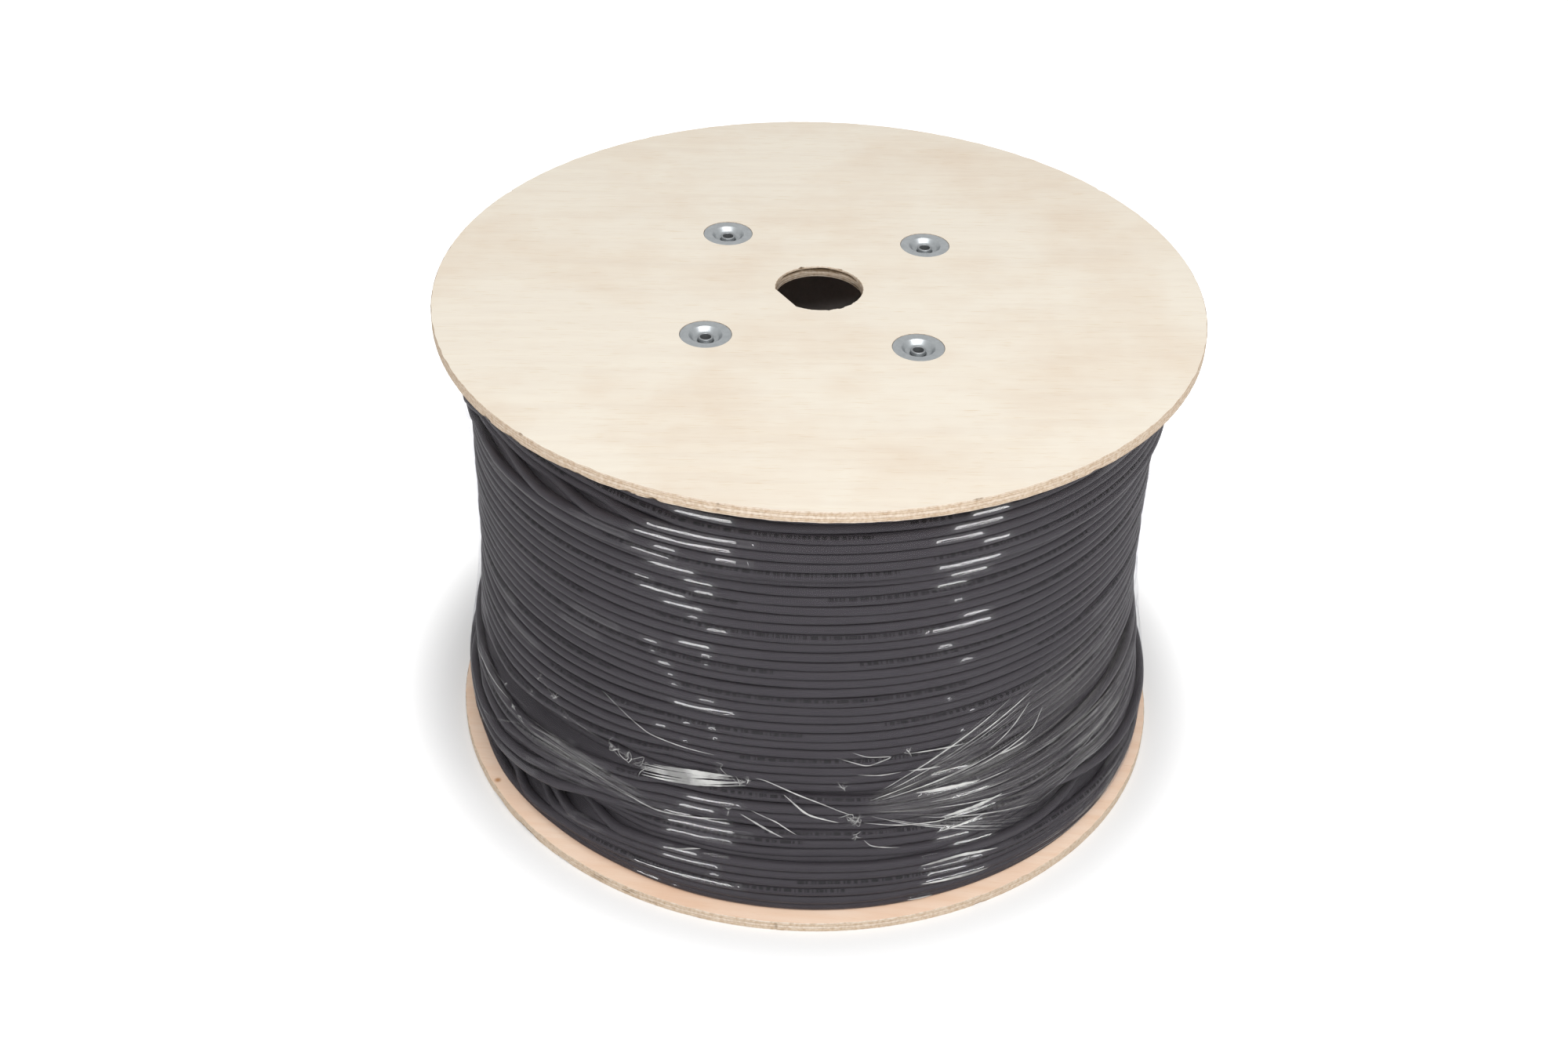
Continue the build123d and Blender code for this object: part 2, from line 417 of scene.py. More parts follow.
def sawn_plies(name, side, end, glue_colour, knock_shade_colour):
    """Sawn plywood edge: pale long-grain plies between darker end-grain ones, brown glue lines, and
    painted shade in the knocks, darker the deeper they are.
    """
    material, tree, surface = new_material(name)
    place = add_node(tree, "ShaderNodeTexCoord").outputs["Object"]
    grain = add_node(tree, "ShaderNodeAttribute", attribute_name="end_grain").outputs["Fac"]
    glue = add_node(tree, "ShaderNodeAttribute", attribute_name="glue").outputs["Fac"]
    knock = add_node(tree, "ShaderNodeAttribute", attribute_name="knock").outputs["Fac"]
    fibres = add_node(
        tree, "ShaderNodeTexNoise", {"Vector": place, "Scale": 1 / (2.2 * MM), "Detail": 4.0}
    )
    patches = add_node(
        tree, "ShaderNodeTexNoise", {"Vector": place, "Scale": 1 / (26 * MM), "Detail": 3.0}
    )
    wood = add_node(
        tree, "ShaderNodeMix", {0: grain, 6: srgb(side), 7: srgb(end)}, data_type="RGBA"
    ).outputs[2]
    wood = darken(tree, wood, fibres, [(0.30, "#D9CBBB"), (0.62, "#FFFFFF")], 0.8)
    dull = add_node(tree, "ShaderNodeMapRange", {"Value": patches, 1: 0.35, 2: 0.7, 3: 0.5, 4: 1.0})
    line = add_node(tree, "ShaderNodeMath", {0: glue, 1: dull}, operation="MULTIPLY")
    lined = add_node(
        tree, "ShaderNodeMix", {0: line, 6: wood, 7: srgb(glue_colour)}, data_type="RGBA"
    ).outputs[2]
    # Painted shade: each knock darkens with its depth, fully at a millimetre
    colour = add_node(
        tree, "ShaderNodeMix", {0: knock, 6: lined, 7: srgb(knock_shade_colour)}, data_type="RGBA"
    ).outputs[2]
    bump = add_node(
        tree, "ShaderNodeBump", {"Height": fibres, "Strength": 0.35, "Distance": 0.25 * MM}
    )
    shader = add_node(
        tree,
        "ShaderNodeBsdfPrincipled",
        {"Base Color": colour, "Roughness": 0.75, "Specular IOR Level": 0.2, "Normal": bump},
    )
    tree.links.new(shader.outputs[0], surface)
    return material


birch = veneer("birch_veneer_sanded", "#F8EFDF", "#F4EADA", "#F8F2ED", -3)
# The okoume's #DBAE90 ring is painted shade next to the winding
okoume = veneer(
    "okoume_veneer_sanded", "#FADFC8", "#F5D5BA", "#F8F0EB", 4, "#DBAE90", (-0.2235, -0.1345)
)
# The last colour, #66543F, is the painted shade in the knocks
sawn = sawn_plies("plywood_sawn_edge", "#CDC0B1", "#BFAE9A", "#8C7661", "#66543F")

top_low, top_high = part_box("top_flange")
bottom_low, bottom_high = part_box("bottom_flange")
top_mesh = flange_mesh(
    "top_flange_board", top_low[2], top_high[2], core_high[2], TOP_RIM_KNOCKS, 11
)
bottom_mesh = flange_mesh(
    "bottom_flange_board", bottom_high[2], bottom_low[2], core_low[2], BOTTOM_RIM_KNOCKS, 47
)
plywood = [birch, okoume, sawn]
finish_piece("top_flange_board", top_mesh, plywood, ["top_flange"])
finish_piece("bottom_flange_board", bottom_mesh, plywood, ["bottom_flange"])

# Core tube: a barrel of grey-brown board, wound in a spiral from paper strips and glued. It sits in
# the grooves of both flanges, and only its inside shows, down the axle bore.
STRIP_WIDTH = 90 * MM
SEAM_SHARE = 0.03
# Paper board, wound and glued: matte and pulpy, with a darker seam at the edge of each strip
core_board, tree, surface = new_material("spiral_wound_board")
place = add_node(tree, "ShaderNodeTexCoord").outputs["Object"]
parts = add_node(tree, "ShaderNodeSeparateXYZ", {"Vector": place}).outputs
turn = add_node(tree, "ShaderNodeMath", {0: parts["Y"], 1: parts["X"]}, operation="ARCTAN2")
share = add_node(tree, "ShaderNodeMath", {0: turn, 1: 1 / (2 * math.pi)}, operation="MULTIPLY")
spiral = add_node(
    tree, "ShaderNodeMath", {0: parts["Z"], 1: 1 / STRIP_WIDTH, 2: share}, operation="MULTIPLY_ADD"
)
strip = add_node(tree, "ShaderNodeMath", {0: spiral}, operation="FRACT")
seam = add_node(tree, "ShaderNodeMapRange", {"Value": strip, 1: 0.0, 2: SEAM_SHARE})
pulp = add_node(tree, "ShaderNodeTexNoise", {"Vector": place, "Scale": 1 / (3 * MM), "Detail": 5.0})
board = add_node(
    tree, "ShaderNodeMix", {0: pulp, 6: srgb("#DAD0CC"), 7: srgb("#E9E1DD")}, data_type="RGBA"
).outputs[2]
board = add_node(
    tree, "ShaderNodeMix", {0: seam, 6: srgb("#94877F"), 7: board}, data_type="RGBA"
).outputs[2]
shader = add_node(tree, "ShaderNodeBsdfPrincipled", {"Base Color": board, "Roughness": 0.9})
tree.links.new(shader.outputs[0], surface)
core = frame["nodes"]["core_tube"]
core.data.materials.clear()
core.data.materials.append(core_board)

# Tie tubes and dished washers: thin steel tubes through both flanges, their ends rolled over the
# floors of washers pressed from sheet steel. All of it is zinc plated.
WASHER_RADIUS = 17.5 * MM
WASHER_SHEET = 1.2 * MM
MOUTH_RADIUS = 11.4 * MM
DISH_FLOOR_RADIUS = 8.4 * MM
DISH_DEPTH = 4.0 * MM
DISH_WALL_OFFSET = 0.5 * MM
TUBE_RADIUS = 4.5 * MM
TUBE_BORE_RADIUS = 3.7 * MM
TUBE_HOLE_RADIUS = 4.65 * MM
BEAD_RADIUS = 5.1 * MM
BEAD_HEIGHT = 2.5 * MM
LATHE_STEPS = 72
CORNER_STEPS = 7
HAIR = 0.01 * MM


def rounded(points, radii):
    """A profile line with each inner corner rounded to its radius."""
    line = [Vector(points[0])]
    for before, corner, after, radius in zip(points, points[1:], points[2:], radii):
        corner = Vector(corner)
        into = (Vector(before) - corner).normalized()
        out = (Vector(after) - corner).normalized()
        half = into.angle(out) / 2
        reach = radius / math.tan(half)
        centre = corner + (into + out).normalized() * radius / math.sin(half)
        start = corner + into * reach - centre
        end = corner + out * reach - centre
        sweep = start.angle(end)
        for i in range(CORNER_STEPS + 1):
            t = i / CORNER_STEPS
            a = math.sin((1 - t) * sweep) / math.sin(sweep)
            b = math.sin(t * sweep) / math.sin(sweep)
            line.append(centre + start * a + end * b)
    line.append(Vector(points[-1]))
    return line


def closed_mesh(name, bm, rings):
    """A closed body, skinned from each of its rings to the next and from the last to the first."""
    for lower, upper in zip(rings, rings[1:] + rings[:1]):
        skin(bm, lower, upper)
    bmesh.ops.recalc_face_normals(bm, faces=bm.faces)
    if bm.calc_volume(signed=True) < 0:
        bmesh.ops.reverse_faces(bm, faces=bm.faces)
    mesh = bpy.data.meshes.new(name)
    bm.to_mesh(mesh)
    bm.free()
    mesh.shade_smooth()
    return mesh


def zinc_plate(name, colour, dull, bare):
    """Bright zinc on pressed steel: soft grey shine with a fine cloudy bloom and tool marks."""
    material, tree, surface = new_material(name)
    place = add_node(tree, "ShaderNodeTexCoord").outputs["Object"]
    bloom = add_node(
        tree, "ShaderNodeTexNoise", {"Vector": place, "Scale": 1 / (3.5 * MM), "Detail": 4.0}
    )
    grit = add_node(
        tree, "ShaderNodeTexNoise", {"Vector": place, "Scale": 1 / (0.7 * MM), "Detail": 2.0}
    )
    tone = add_node(
        tree, "ShaderNodeMix", {0: bloom, 6: srgb(dull), 7: srgb(colour)}, data_type="RGBA"
    ).outputs[2]
    rough = add_node(tree, "ShaderNodeMapRange", {"Value": bloom, 1: 0.3, 2: 0.7, 3: 0.46, 4: 0.34})
    bump = add_node(
        tree, "ShaderNodeBump", {"Height": grit, "Strength": 0.15, "Distance": 0.1 * MM}
    )
    shader = add_node(
        tree,
        "ShaderNodeBsdfPrincipled",
        {"Base Color": tone, "Metallic": bare, "Roughness": rough, "Normal": bump},
    )
    tree.links.new(shader.outputs[0], surface)
    return material


zinc = zinc_plate("zinc_plated_steel", "#ADB1B3", "#979B9D", 1.0)
# The tubes get a darker, less metallic copy of the washers' zinc: partly painted shade, so that
# their rolled ends and bores read dark
dull_shaded_zinc = zinc_plate("zinc_plated_tube_dull_and_shaded", "#9EA1A2", "#84878A", 0.75)
rim_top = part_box("cup_washers_top")[1][2]
dish_floor = rim_top - DISH_DEPTH
upper_line = rounded(
    [
        (WASHER_RADIUS, rim_top - WASHER_SHEET / 2),
        (WASHER_RADIUS, rim_top),
        (MOUTH_RADIUS, rim_top),
        (DISH_FLOOR_RADIUS, dish_floor),
        (TUBE_HOLE_RADIUS, dish_floor),
    ],
    [0.5 * MM, 0.9 * MM, 3.4 * MM],
)
lower_line = rounded(
    [
        (TUBE_HOLE_RADIUS, dish_floor - WASHER_SHEET),
        (DISH_FLOOR_RADIUS + DISH_WALL_OFFSET, dish_floor - WASHER_SHEET),
        (MOUTH_RADIUS + DISH_WALL_OFFSET, rim_top - WASHER_SHEET),
        (WASHER_RADIUS, rim_top - WASHER_SHEET),
        (WASHER_RADIUS, rim_top - WASHER_SHEET / 2 - HAIR),
    ],
    [2.2 * MM, 0.6 * MM, 0.3 * MM],
)
drum_height = cad_box[1][2]
bead_top = dish_floor + BEAD_HEIGHT
upper_end = rounded(
    [
        (TUBE_BORE_RADIUS, drum_height / 2),
        (TUBE_BORE_RADIUS, bead_top),
        (BEAD_RADIUS, bead_top),
        (BEAD_RADIUS, dish_floor),
        (TUBE_RADIUS, dish_floor),
        (TUBE_RADIUS, drum_height / 2),
    ],
    [0.6 * MM, 0.75 * MM, 0.1 * MM, 0.1 * MM],
)[1:-1]


def turned_over(line):
    """The same line at the other end of the drum."""
    return [Vector((p[0], drum_height - p[1])) for p in line]


def start_tree(name, inputs):
    """An empty Geometry Nodes tree with these inputs, and the sockets that they come in by."""
    tree = bpy.data.node_groups.new(name, "GeometryNodeTree")
    tree.interface.new_socket("Geometry", in_out="INPUT", socket_type="NodeSocketGeometry")
    for label, kind in inputs.items():
        tree.interface.new_socket(label, in_out="INPUT", socket_type="NodeSocket" + kind)
    tree.interface.new_socket("Geometry", in_out="OUTPUT", socket_type="NodeSocketGeometry")
    return tree, add_node(tree, "NodeGroupInput").outputs


def end_tree(tree, shape, material):
    """Ends a tree: what it made becomes real geometry in the given material."""
    real = add_node(tree, "GeometryNodeRealizeInstances", {"Geometry": shape})
    coated = add_node(tree, "GeometryNodeSetMaterial", {"Geometry": real, "Material": material})
    add_node(tree, "NodeGroupOutput", {"Geometry": coated})
    return tree


def ring_tree():
    """Sets one piece at even places on a circle round the axle bore."""
    inputs = {
        "Piece": "Object",
        "Count": "Int",
        "Circle Radius": "Float",
        "Start Angle": "Float",
        "Material": "Material",
    }
    tree, given = start_tree("pieces_on_the_tie_circle", inputs)
    circle = add_node(
        tree,
        "GeometryNodeMeshCircle",
        {"Vertices": given["Count"], "Radius": given["Circle Radius"]},
    )
    turn = add_node(tree, "ShaderNodeCombineXYZ", {"Z": given["Start Angle"]})
    turned = add_node(tree, "GeometryNodeTransform", {"Geometry": circle, "Rotation": turn})
    piece = add_node(tree, "GeometryNodeObjectInfo", {"Object": given["Piece"]})
    placed = add_node(
        tree,
        "GeometryNodeInstanceOnPoints",
        {"Points": turned, "Instance": piece.outputs["Geometry"]},
    )
    return end_tree(tree, placed, given["Material"])


def mesh_from_tree(name, data, tree, values):
    """Runs a node tree on an object of this data and returns the result as a plain mesh."""
    carrier = add_object(name, data)
    modifier = carrier.modifiers.new("tree", "NODES")
    modifier.node_group = tree
    for item in tree.interface.items_tree:
        if item.in_out == "INPUT" and item.name in values:
            modifier[item.identifier] = values[item.name]
    graph = bpy.context.evaluated_depsgraph_get()
    mesh = bpy.data.meshes.new_from_object(carrier.evaluated_get(graph), depsgraph=graph)
    mesh.name = name
    bpy.data.objects.remove(carrier)
    return mesh


tie_ring = ring_tree()
tie_radius = math.hypot(*tie_places[0])
tie_start = math.atan2(tie_places[0][1], tie_places[0][0])
for name, profile, plate, replaced in (
    ("washers_top", upper_line + lower_line, zinc, ["cup_washers_top"]),
    ("washers_bottom", turned_over(upper_line + lower_line), zinc, ["cup_washers_bottom"]),
    (
        "tie_tubes",
        upper_end + turned_over(reversed(upper_end)),
        dull_shaded_zinc,
        [f"tie_tube_{number}" for number in range(1, 5)],
    ),
):
    bm = bmesh.new()
    rings = [ring_of(bm, (0, 0), p[0], LATHE_STEPS, p[1]) for p in profile]
    pattern = bpy.data.objects.new(name + "_one", closed_mesh(name + "_one", bm, rings))
    values = {
        "Piece": pattern,
        "Count": len(tie_places),
        "Circle Radius": tie_radius,
        "Start Angle": tie_start,
        "Material": plate,
    }
    mesh = mesh_from_tree(name, bpy.data.meshes.new(name + "_seed"), tie_ring, values)
    bpy.data.objects.remove(pattern)
    finish_piece(name, mesh, [plate], replaced)

# Wound cable: one round cable with a charcoal jacket of smooth polyethylene, wound turn beside turn
# in full layers, with part layers beside the flanges. The outer turns are swept along their route.
CABLE_RADIUS = 3.75 * MM
TURNS = 45
STEPS_PER_TURN = 160
CABLE_SIDES = 12
ROUTE_START = math.radians(160)
CROSSING_START = 0.60
LAYER_RISE = 6.0 * MM
FULL_LAYERS_RADIUS = 241.6 * MM
OFF_CENTRE = 1.35 * MM
OUT_OF_ROUND = 0.4 * MM
FOOT_HEIGHT = 7 * MM
FOOT_DEPTH = 6 * MM
# Part layers beside the flanges, in mm: height of the band's edge, side of the edge that the band
# lies on, wander of the edge, and height over which it steps
BANDS = ((289, 1, 1, 4), (103, -1, 2, 14), (57, -1, 2, 9))
# Valleys in the winding, each as angle, height, half height and depth in mm, from place to place
VALLEYS = (
    (
        (-180, 100, 8, 4), (-168, 96, 9, 6), (-156, 92, 11, 14), (-148, 90, 12, 17),
        (-140, 92, 12, 17), (-132, 97, 11, 15), (-124, 102, 9, 12), (-117, 107, 7, 6),
        (-112, 112, 5, 0.5), (-92, 114, 6, 0.5), (-78, 112, 7, 1), (-62, 112, 6, 3),
        (-53, 114, 7, 8), (-39, 117, 8, 12), (-26, 118, 8, 9), (-8, 118, 8, 2), (60, 110, 8, 4),
        (120, 112, 9, 3),
    ),
    (
        (-180, 38, 12, 3), (-168, 30, 14, 4), (-160, 22, 14, 9), (-149, 24, 15, 18),
        (-140, 31, 15, 19), (-130, 43, 13, 17), (-123, 50, 10, 12), (-114, 56, 6, 5),
        (-108, 59, 5, 3), (-85, 60, 5, 2), (-68, 56, 5, 4), (-59, 54, 8, 9), (-45, 51, 10, 14),
        (-34, 44, 11, 15), (-24, 40, 11, 10), (-10, 40, 9, 2), (20, 46, 8, 5), (80, 50, 8, 4),
        (130, 44, 11, 6),
    ),
    (
        (-180, 78, 3, 0.4), (-112, 78, 3.5, 0.5), (-104, 78, 4, 3), (-88, 78, 4, 3),
        (-78, 78, 3.5, 0.5),
    ),
    ((-180, 152, 3, 0), (-120, 166, 3, 1.2), (-60, 190, 3, 0.6), (0, 214, 3, 1.5), (90, 180, 3, 1)),
)
# Turns that run along the lower valley, along the upper one, and first level again above them
VALLEY_TURNS = (6.7, 13.94, 24)
# Share of the lost room by which each of the lowest turns has slipped in behind its neighbours
SLIPPED_TURNS = (0, 1, 0.2, 1, 0.3, 1, 0.6)
# Swelling of the lower winding, in mm: angle, below the middle, and more of it in the bottom band
SWELLING = (
    (-180, 2.9, 0.5), (-168, 2.9, 0.5), (-150, 1.5, 2), (-135, 0.3, 0.5), (-120, 0, 0.5),
    (-105, 0, 2), (-88, 0, 3), (-70, 0.3, 3), (-50, 1, 4), (-30, 2.2, 5), (-11, 2.9, 5),
    (15, 2.5, 4), (60, 1, 2), (120, 1, 1.5), (150, 2, 1),
)
# Heights in mm below which the two parts of the swelling grow, and the height they take to grow
SWELLING_TOPS, SWELLING_STEP = (165, 90), 50
# Edge of the slack turns below the top flange, and how far they lie inside the others, in mm
SLACK_TURNS = (
    (-180, 322, -2.5), (-168, 316, -1), (-160, 292, 6), (-150, 294, 9), (-136, 301, 9.5),
    (-126, 307, 9), (-117, 314, 6), (-110, 320, 3.5), (-102, 324, 1), (-92, 328, 0),
    (40, 330, 0), (75, 322, 4), (110, 326, 3), (140, 330, 0),
)
SLACK_STEP = 9
# Waves of each single turn, in and out: crests round the drum, and height in mm
TURN_WAVES = ((2, 0.20), (5, 0.16), (12, 0.07))
SLIP_DEPTH = 10
winding_low, winding_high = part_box("wound_cable")
turn_rise = (winding_high[2] - winding_low[2]) / TURNS


def ease(x):
    """Smooth step from 0 to 1."""
    x = np.clip(x, 0, 1)
    return x * x * (3 - 2 * x)


def along_angle(angle, places):
    """Values at an angle between the places of a list, which starts each place with its degrees."""
    degrees = np.degrees(off_angle(angle, 0))
    table = np.array(places, dtype=float)
    return [np.interp(degrees, table[:, 0], column, period=360) for column in table.T[1:]]


def wound_outside(angle, height):
    """Radius of the winding's outside at an angle and height."""
    wave = ripple(angle, 3, 1, 4, 4)
    level = height / MM
    out = FULL_LAYERS_RADIUS - OFF_CENTRE * np.cos(angle) + OUT_OF_ROUND * wave
    for edge, side, wander, step in BANDS:
        out = out + LAYER_RISE * ease(side * (level - edge - wander * wave) / step + 0.5)
    for valley in VALLEYS:
        middle, half, depth = along_angle(angle, valley)
        out = out - depth * MM * ease(1.5 * (1 - abs(level - middle) / half))
    for swelling, top in zip(along_angle(angle, SWELLING), SWELLING_TOPS):
        out = out + swelling * MM * ease((top - level) / SWELLING_STEP)
    edge, depth = along_angle(angle, SLACK_TURNS)
    out = out - depth * MM * ease((level - edge) / SLACK_STEP + 0.5)
    foot = np.clip(1 - (height - winding_low[2]) / FOOT_HEIGHT, 0, 1)
    return out - FOOT_DEPTH * foot


def tent(x, start, top, end):
    """Rises from 0 at the start to 1 at the top, and falls to 0 at the end."""
    return np.clip(np.minimum((x - start) / (top - start), (end - x) / (end - top)), 0, 1)


def turn_height(turn, angle):
    """Height of the winding's turn, counted in turns from the bottom flange, at an angle."""
    wander = 0.5 * MM * ripple(angle, 5, 2, 6, 4)
    wander = wander + 0.35 * MM * ripple(angle + turn * 0.35, 8, 3, 11, 6)
    room = np.clip(np.minimum(turn, TURNS - turn) / 3, 0, 1)
    level = winding_low[2] + turn_rise * turn + wander * room
    upper, lower = along_angle(angle, VALLEYS[0])[0], along_angle(angle, VALLEYS[1])[0]
    sag = upper * MM - winding_low[2] - turn_rise * VALLEY_TURNS[1]
    level = level + sag * tent(turn, *VALLEY_TURNS)
    sag = lower * MM - winding_low[2] - turn_rise * VALLEY_TURNS[0]
    return level + sag * tent(turn, 0, *VALLEY_TURNS[:2])


lift_rng = np.random.default_rng(17)
lift_phases = lift_rng.uniform(0, 2 * math.pi, (3, TURNS + 1))
lift_steps = np.clip(lift_rng.normal(0, 0.25, TURNS + 1), -0.6, 0.35)


def turn_lift(number, angle):
    """How far a turn, by its number, lies out of the winding's even outside at an angle."""
    phases = lift_phases[:, number]
    waves = sum(h * np.cos(n * angle + p) for (n, h), p in zip(TURN_WAVES, phases))
    valley = along_angle(angle, VALLEYS[1])[0] * MM - winding_low[2]
    lost = np.clip(1 - valley / (turn_rise * VALLEY_TURNS[0]), 0, 1)
    slipped = np.interp(number, range(len(SLIPPED_TURNS) + 1), (*SLIPPED_TURNS, 0))
    return MM * (lift_steps[number] + waves - SLIP_DEPTH * slipped * lost)


def polar(radius, angle, height):
    """Points at a radius, angle and height, as rows of x, y and z."""
    return np.stack([radius * np.cos(angle), radius * np.sin(angle), height + 0 * angle], axis=-1)


route_turns = np.arange(TURNS * STEPS_PER_TURN) / STEPS_PER_TURN
share = route_turns % 1
number = np.floor(route_turns).astype(int)
crossed = ease((share - CROSSING_START) / (1 - CROSSING_START))
counted = np.minimum(number + 0.5 + crossed, TURNS - 0.5)
route_angle = ROUTE_START + 2 * math.pi * share
route_height = turn_height(counted, route_angle)
route_radius = wound_outside(route_angle, route_height) - CABLE_RADIUS
lift_here, lift_next = turn_lift(number, route_angle), turn_lift(number + 1, route_angle)
route_radius = route_radius + lift_here + crossed * (lift_next - lift_here)
route = polar(route_radius, route_angle, route_height)


def cable_tree():
    """Sweeps a round cable along a route, and keeps the length along it and the share round it."""
    inputs = {"Cable Radius": "Float", "Sides": "Int", "Material": "Material"}
    tree, given = start_tree("cable_along_its_route", inputs)
    length = add_node(tree, "GeometryNodeSplineParameter").outputs["Length"]
    upright = add_node(
        tree, "GeometryNodeSetCurveNormal", {"Curve": given["Geometry"]}, mode="Z_UP"
    )
    routed = add_node(
        tree,
        "GeometryNodeStoreNamedAttribute",
        {"Geometry": upright, "Name": "along", "Value": length},
    )
    section = add_node(
        tree,
        "GeometryNodeCurvePrimitiveCircle",
        {"Resolution": given["Sides"], "Radius": given["Cable Radius"]},
    )
    around = add_node(tree, "GeometryNodeSplineParameter").outputs["Factor"]
    marked = add_node(
        tree,
        "GeometryNodeStoreNamedAttribute",
        {"Geometry": section, "Name": "around", "Value": around},
    )
    swept = add_node(
        tree,
        "GeometryNodeCurveToMesh",
        {"Curve": routed, "Profile Curve": marked, "Fill Caps": True},
    )
    return end_tree(tree, swept, given["Material"])


def new_curve(name):
    """An empty curve in space."""
    curve = bpy.data.curves.new(name, "CURVE")
    curve.dimensions = "3D"
    return curve


def add_line(curve, points):
    """Adds a line through these points to a curve."""
    line = curve.splines.new("POLY")
    line.points.add(len(points) - 1)
    line.points.foreach_set("co", np.column_stack([points, np.ones(len(points))]).ravel())
    return line


# Polyethylene jacket, extruded: even dark charcoal with a soft sheen, rubbed slightly grey, and
# rows of plain ink-jet dashes along the cable, with no lettering
DASH_PITCH = 2.4 * MM
DASH_ROW = 870 * MM
ROW_SHARE = 0.22
LINE_PLACE, LINE_HALF = 0.875, 0.045
INK_SHARE = 0.75
jacket, tree, surface = new_material("polyethylene_cable_jacket")
place = add_node(tree, "ShaderNodeTexCoord").outputs["Object"]
along = add_node(tree, "ShaderNodeAttribute", attribute_name="along").outputs["Fac"]
around = add_node(tree, "ShaderNodeAttribute", attribute_name="around").outputs["Fac"]
scuff = add_node(
    tree, "ShaderNodeTexNoise", {"Vector": place, "Scale": 1 / (18 * MM), "Detail": 5.0}
)
tone = add_node(
    tree, "ShaderNodeMix", {0: scuff, 6: srgb("#343135"), 7: srgb("#3C393D")}, data_type="RGBA"
).outputs[2]
dashes = add_node(
    tree,
    "ShaderNodeTexNoise",
    {"W": along, "Scale": 1 / DASH_PITCH, "Detail": 0.0},
    noise_dimensions="1D",
)
dashes = add_node(tree, "ShaderNodeMapRange", {"Value": dashes, 1: 0.44, 2: 0.50})
in_row = add_node(tree, "ShaderNodeMath", {0: along, 1: 1 / DASH_ROW}, operation="MULTIPLY")
in_row = add_node(tree, "ShaderNodeMath", {0: in_row}, operation="FRACT")
in_row = add_node(tree, "ShaderNodeMath", {0: in_row, 1: ROW_SHARE}, operation="LESS_THAN")
on_line = add_node(tree, "ShaderNodeMath", {0: around, 1: LINE_PLACE}, operation="SUBTRACT")
on_line = add_node(tree, "ShaderNodeMath", {0: on_line}, operation="ABSOLUTE")
on_line = add_node(tree, "ShaderNodeMath", {0: on_line, 1: LINE_HALF}, operation="LESS_THAN")
ink = dashes
for factor in (in_row, on_line, INK_SHARE):
    ink = add_node(tree, "ShaderNodeMath", {0: ink, 1: factor}, operation="MULTIPLY")
tone = add_node(
    tree, "ShaderNodeMix", {0: ink, 6: tone, 7: srgb("#070607")}, data_type="RGBA"
).outputs[2]
shader = add_node(
    tree,
    "ShaderNodeBsdfPrincipled",
    {"Base Color": tone, "Roughness": 0.5, "Specular IOR Level": 0.15},
)
tree.links.new(shader.outputs[0], surface)

route_curve = new_curve("cable_route")
add_line(route_curve, route)
values = {"Cable Radius": CABLE_RADIUS, "Sides": CABLE_SIDES, "Material": jacket}
cable_mesh = mesh_from_tree("cable_outer_turns", route_curve, cable_tree(), values)
cable_mesh.shade_smooth()
finish_piece("cable_outer_turns", cable_mesh, [jacket], ["wound_cable"])

# Layers under the outer turns: one body of the same jacket, seen only in the gaps between them
INNER_STEPS = 180
INNER_ROWS = 90
INNER_DROP = 5.5 * MM
inner_angle = np.linspace(0, 2 * math.pi, INNER_STEPS, endpoint=False)
bm = bmesh.new()
rings = []
for height in np.linspace(winding_low[2], winding_high[2], INNER_ROWS):
    reach = wound_outside(inner_angle, np.full(INNER_STEPS, height)) - INNER_DROP
    rings.append([bm.verts.new(p) for p in polar(reach, inner_angle, height).tolist()])
for height in (winding_high[2], winding_low[2]):
    rings.append(ring_of(bm, (0, 0), core_high[0], INNER_STEPS, height))
inner_mesh = closed_mesh("cable_inner_layers", bm, rings)
finish_piece("cable_inner_layers", inner_mesh, [jacket], ["wound_cable"])

# Stretch film: clear polyethylene film, wrapped round the winding from flange to flange and pulled
# tight, so that it clings to some turns, spans the hollows, and is gathered in pleats low in front.
FILM_STEPS = 330
FINE_STEPS = 150
FINE_SECTOR = (-122, -55)
ROWS_PER_TURN = 6
FILM_CLEARANCE = 0.30 * MM
FILM_REACH = 14
FILM_GIRTH_RADIUS = 247 * MM
# How far clung film dips between two turns, in mm, from one groove to the next, and how much of
# that it dips where it is only pulled tight; it lets go where it spans a hollow
FILM_DIPS = (1.45, 0.93, 0.21, 0.0, 0.21, 0.93)
TIGHT_SHARE = 0.40
SPAN_START, SPAN_FADE = 0.7 * MM, 0.8 * MM
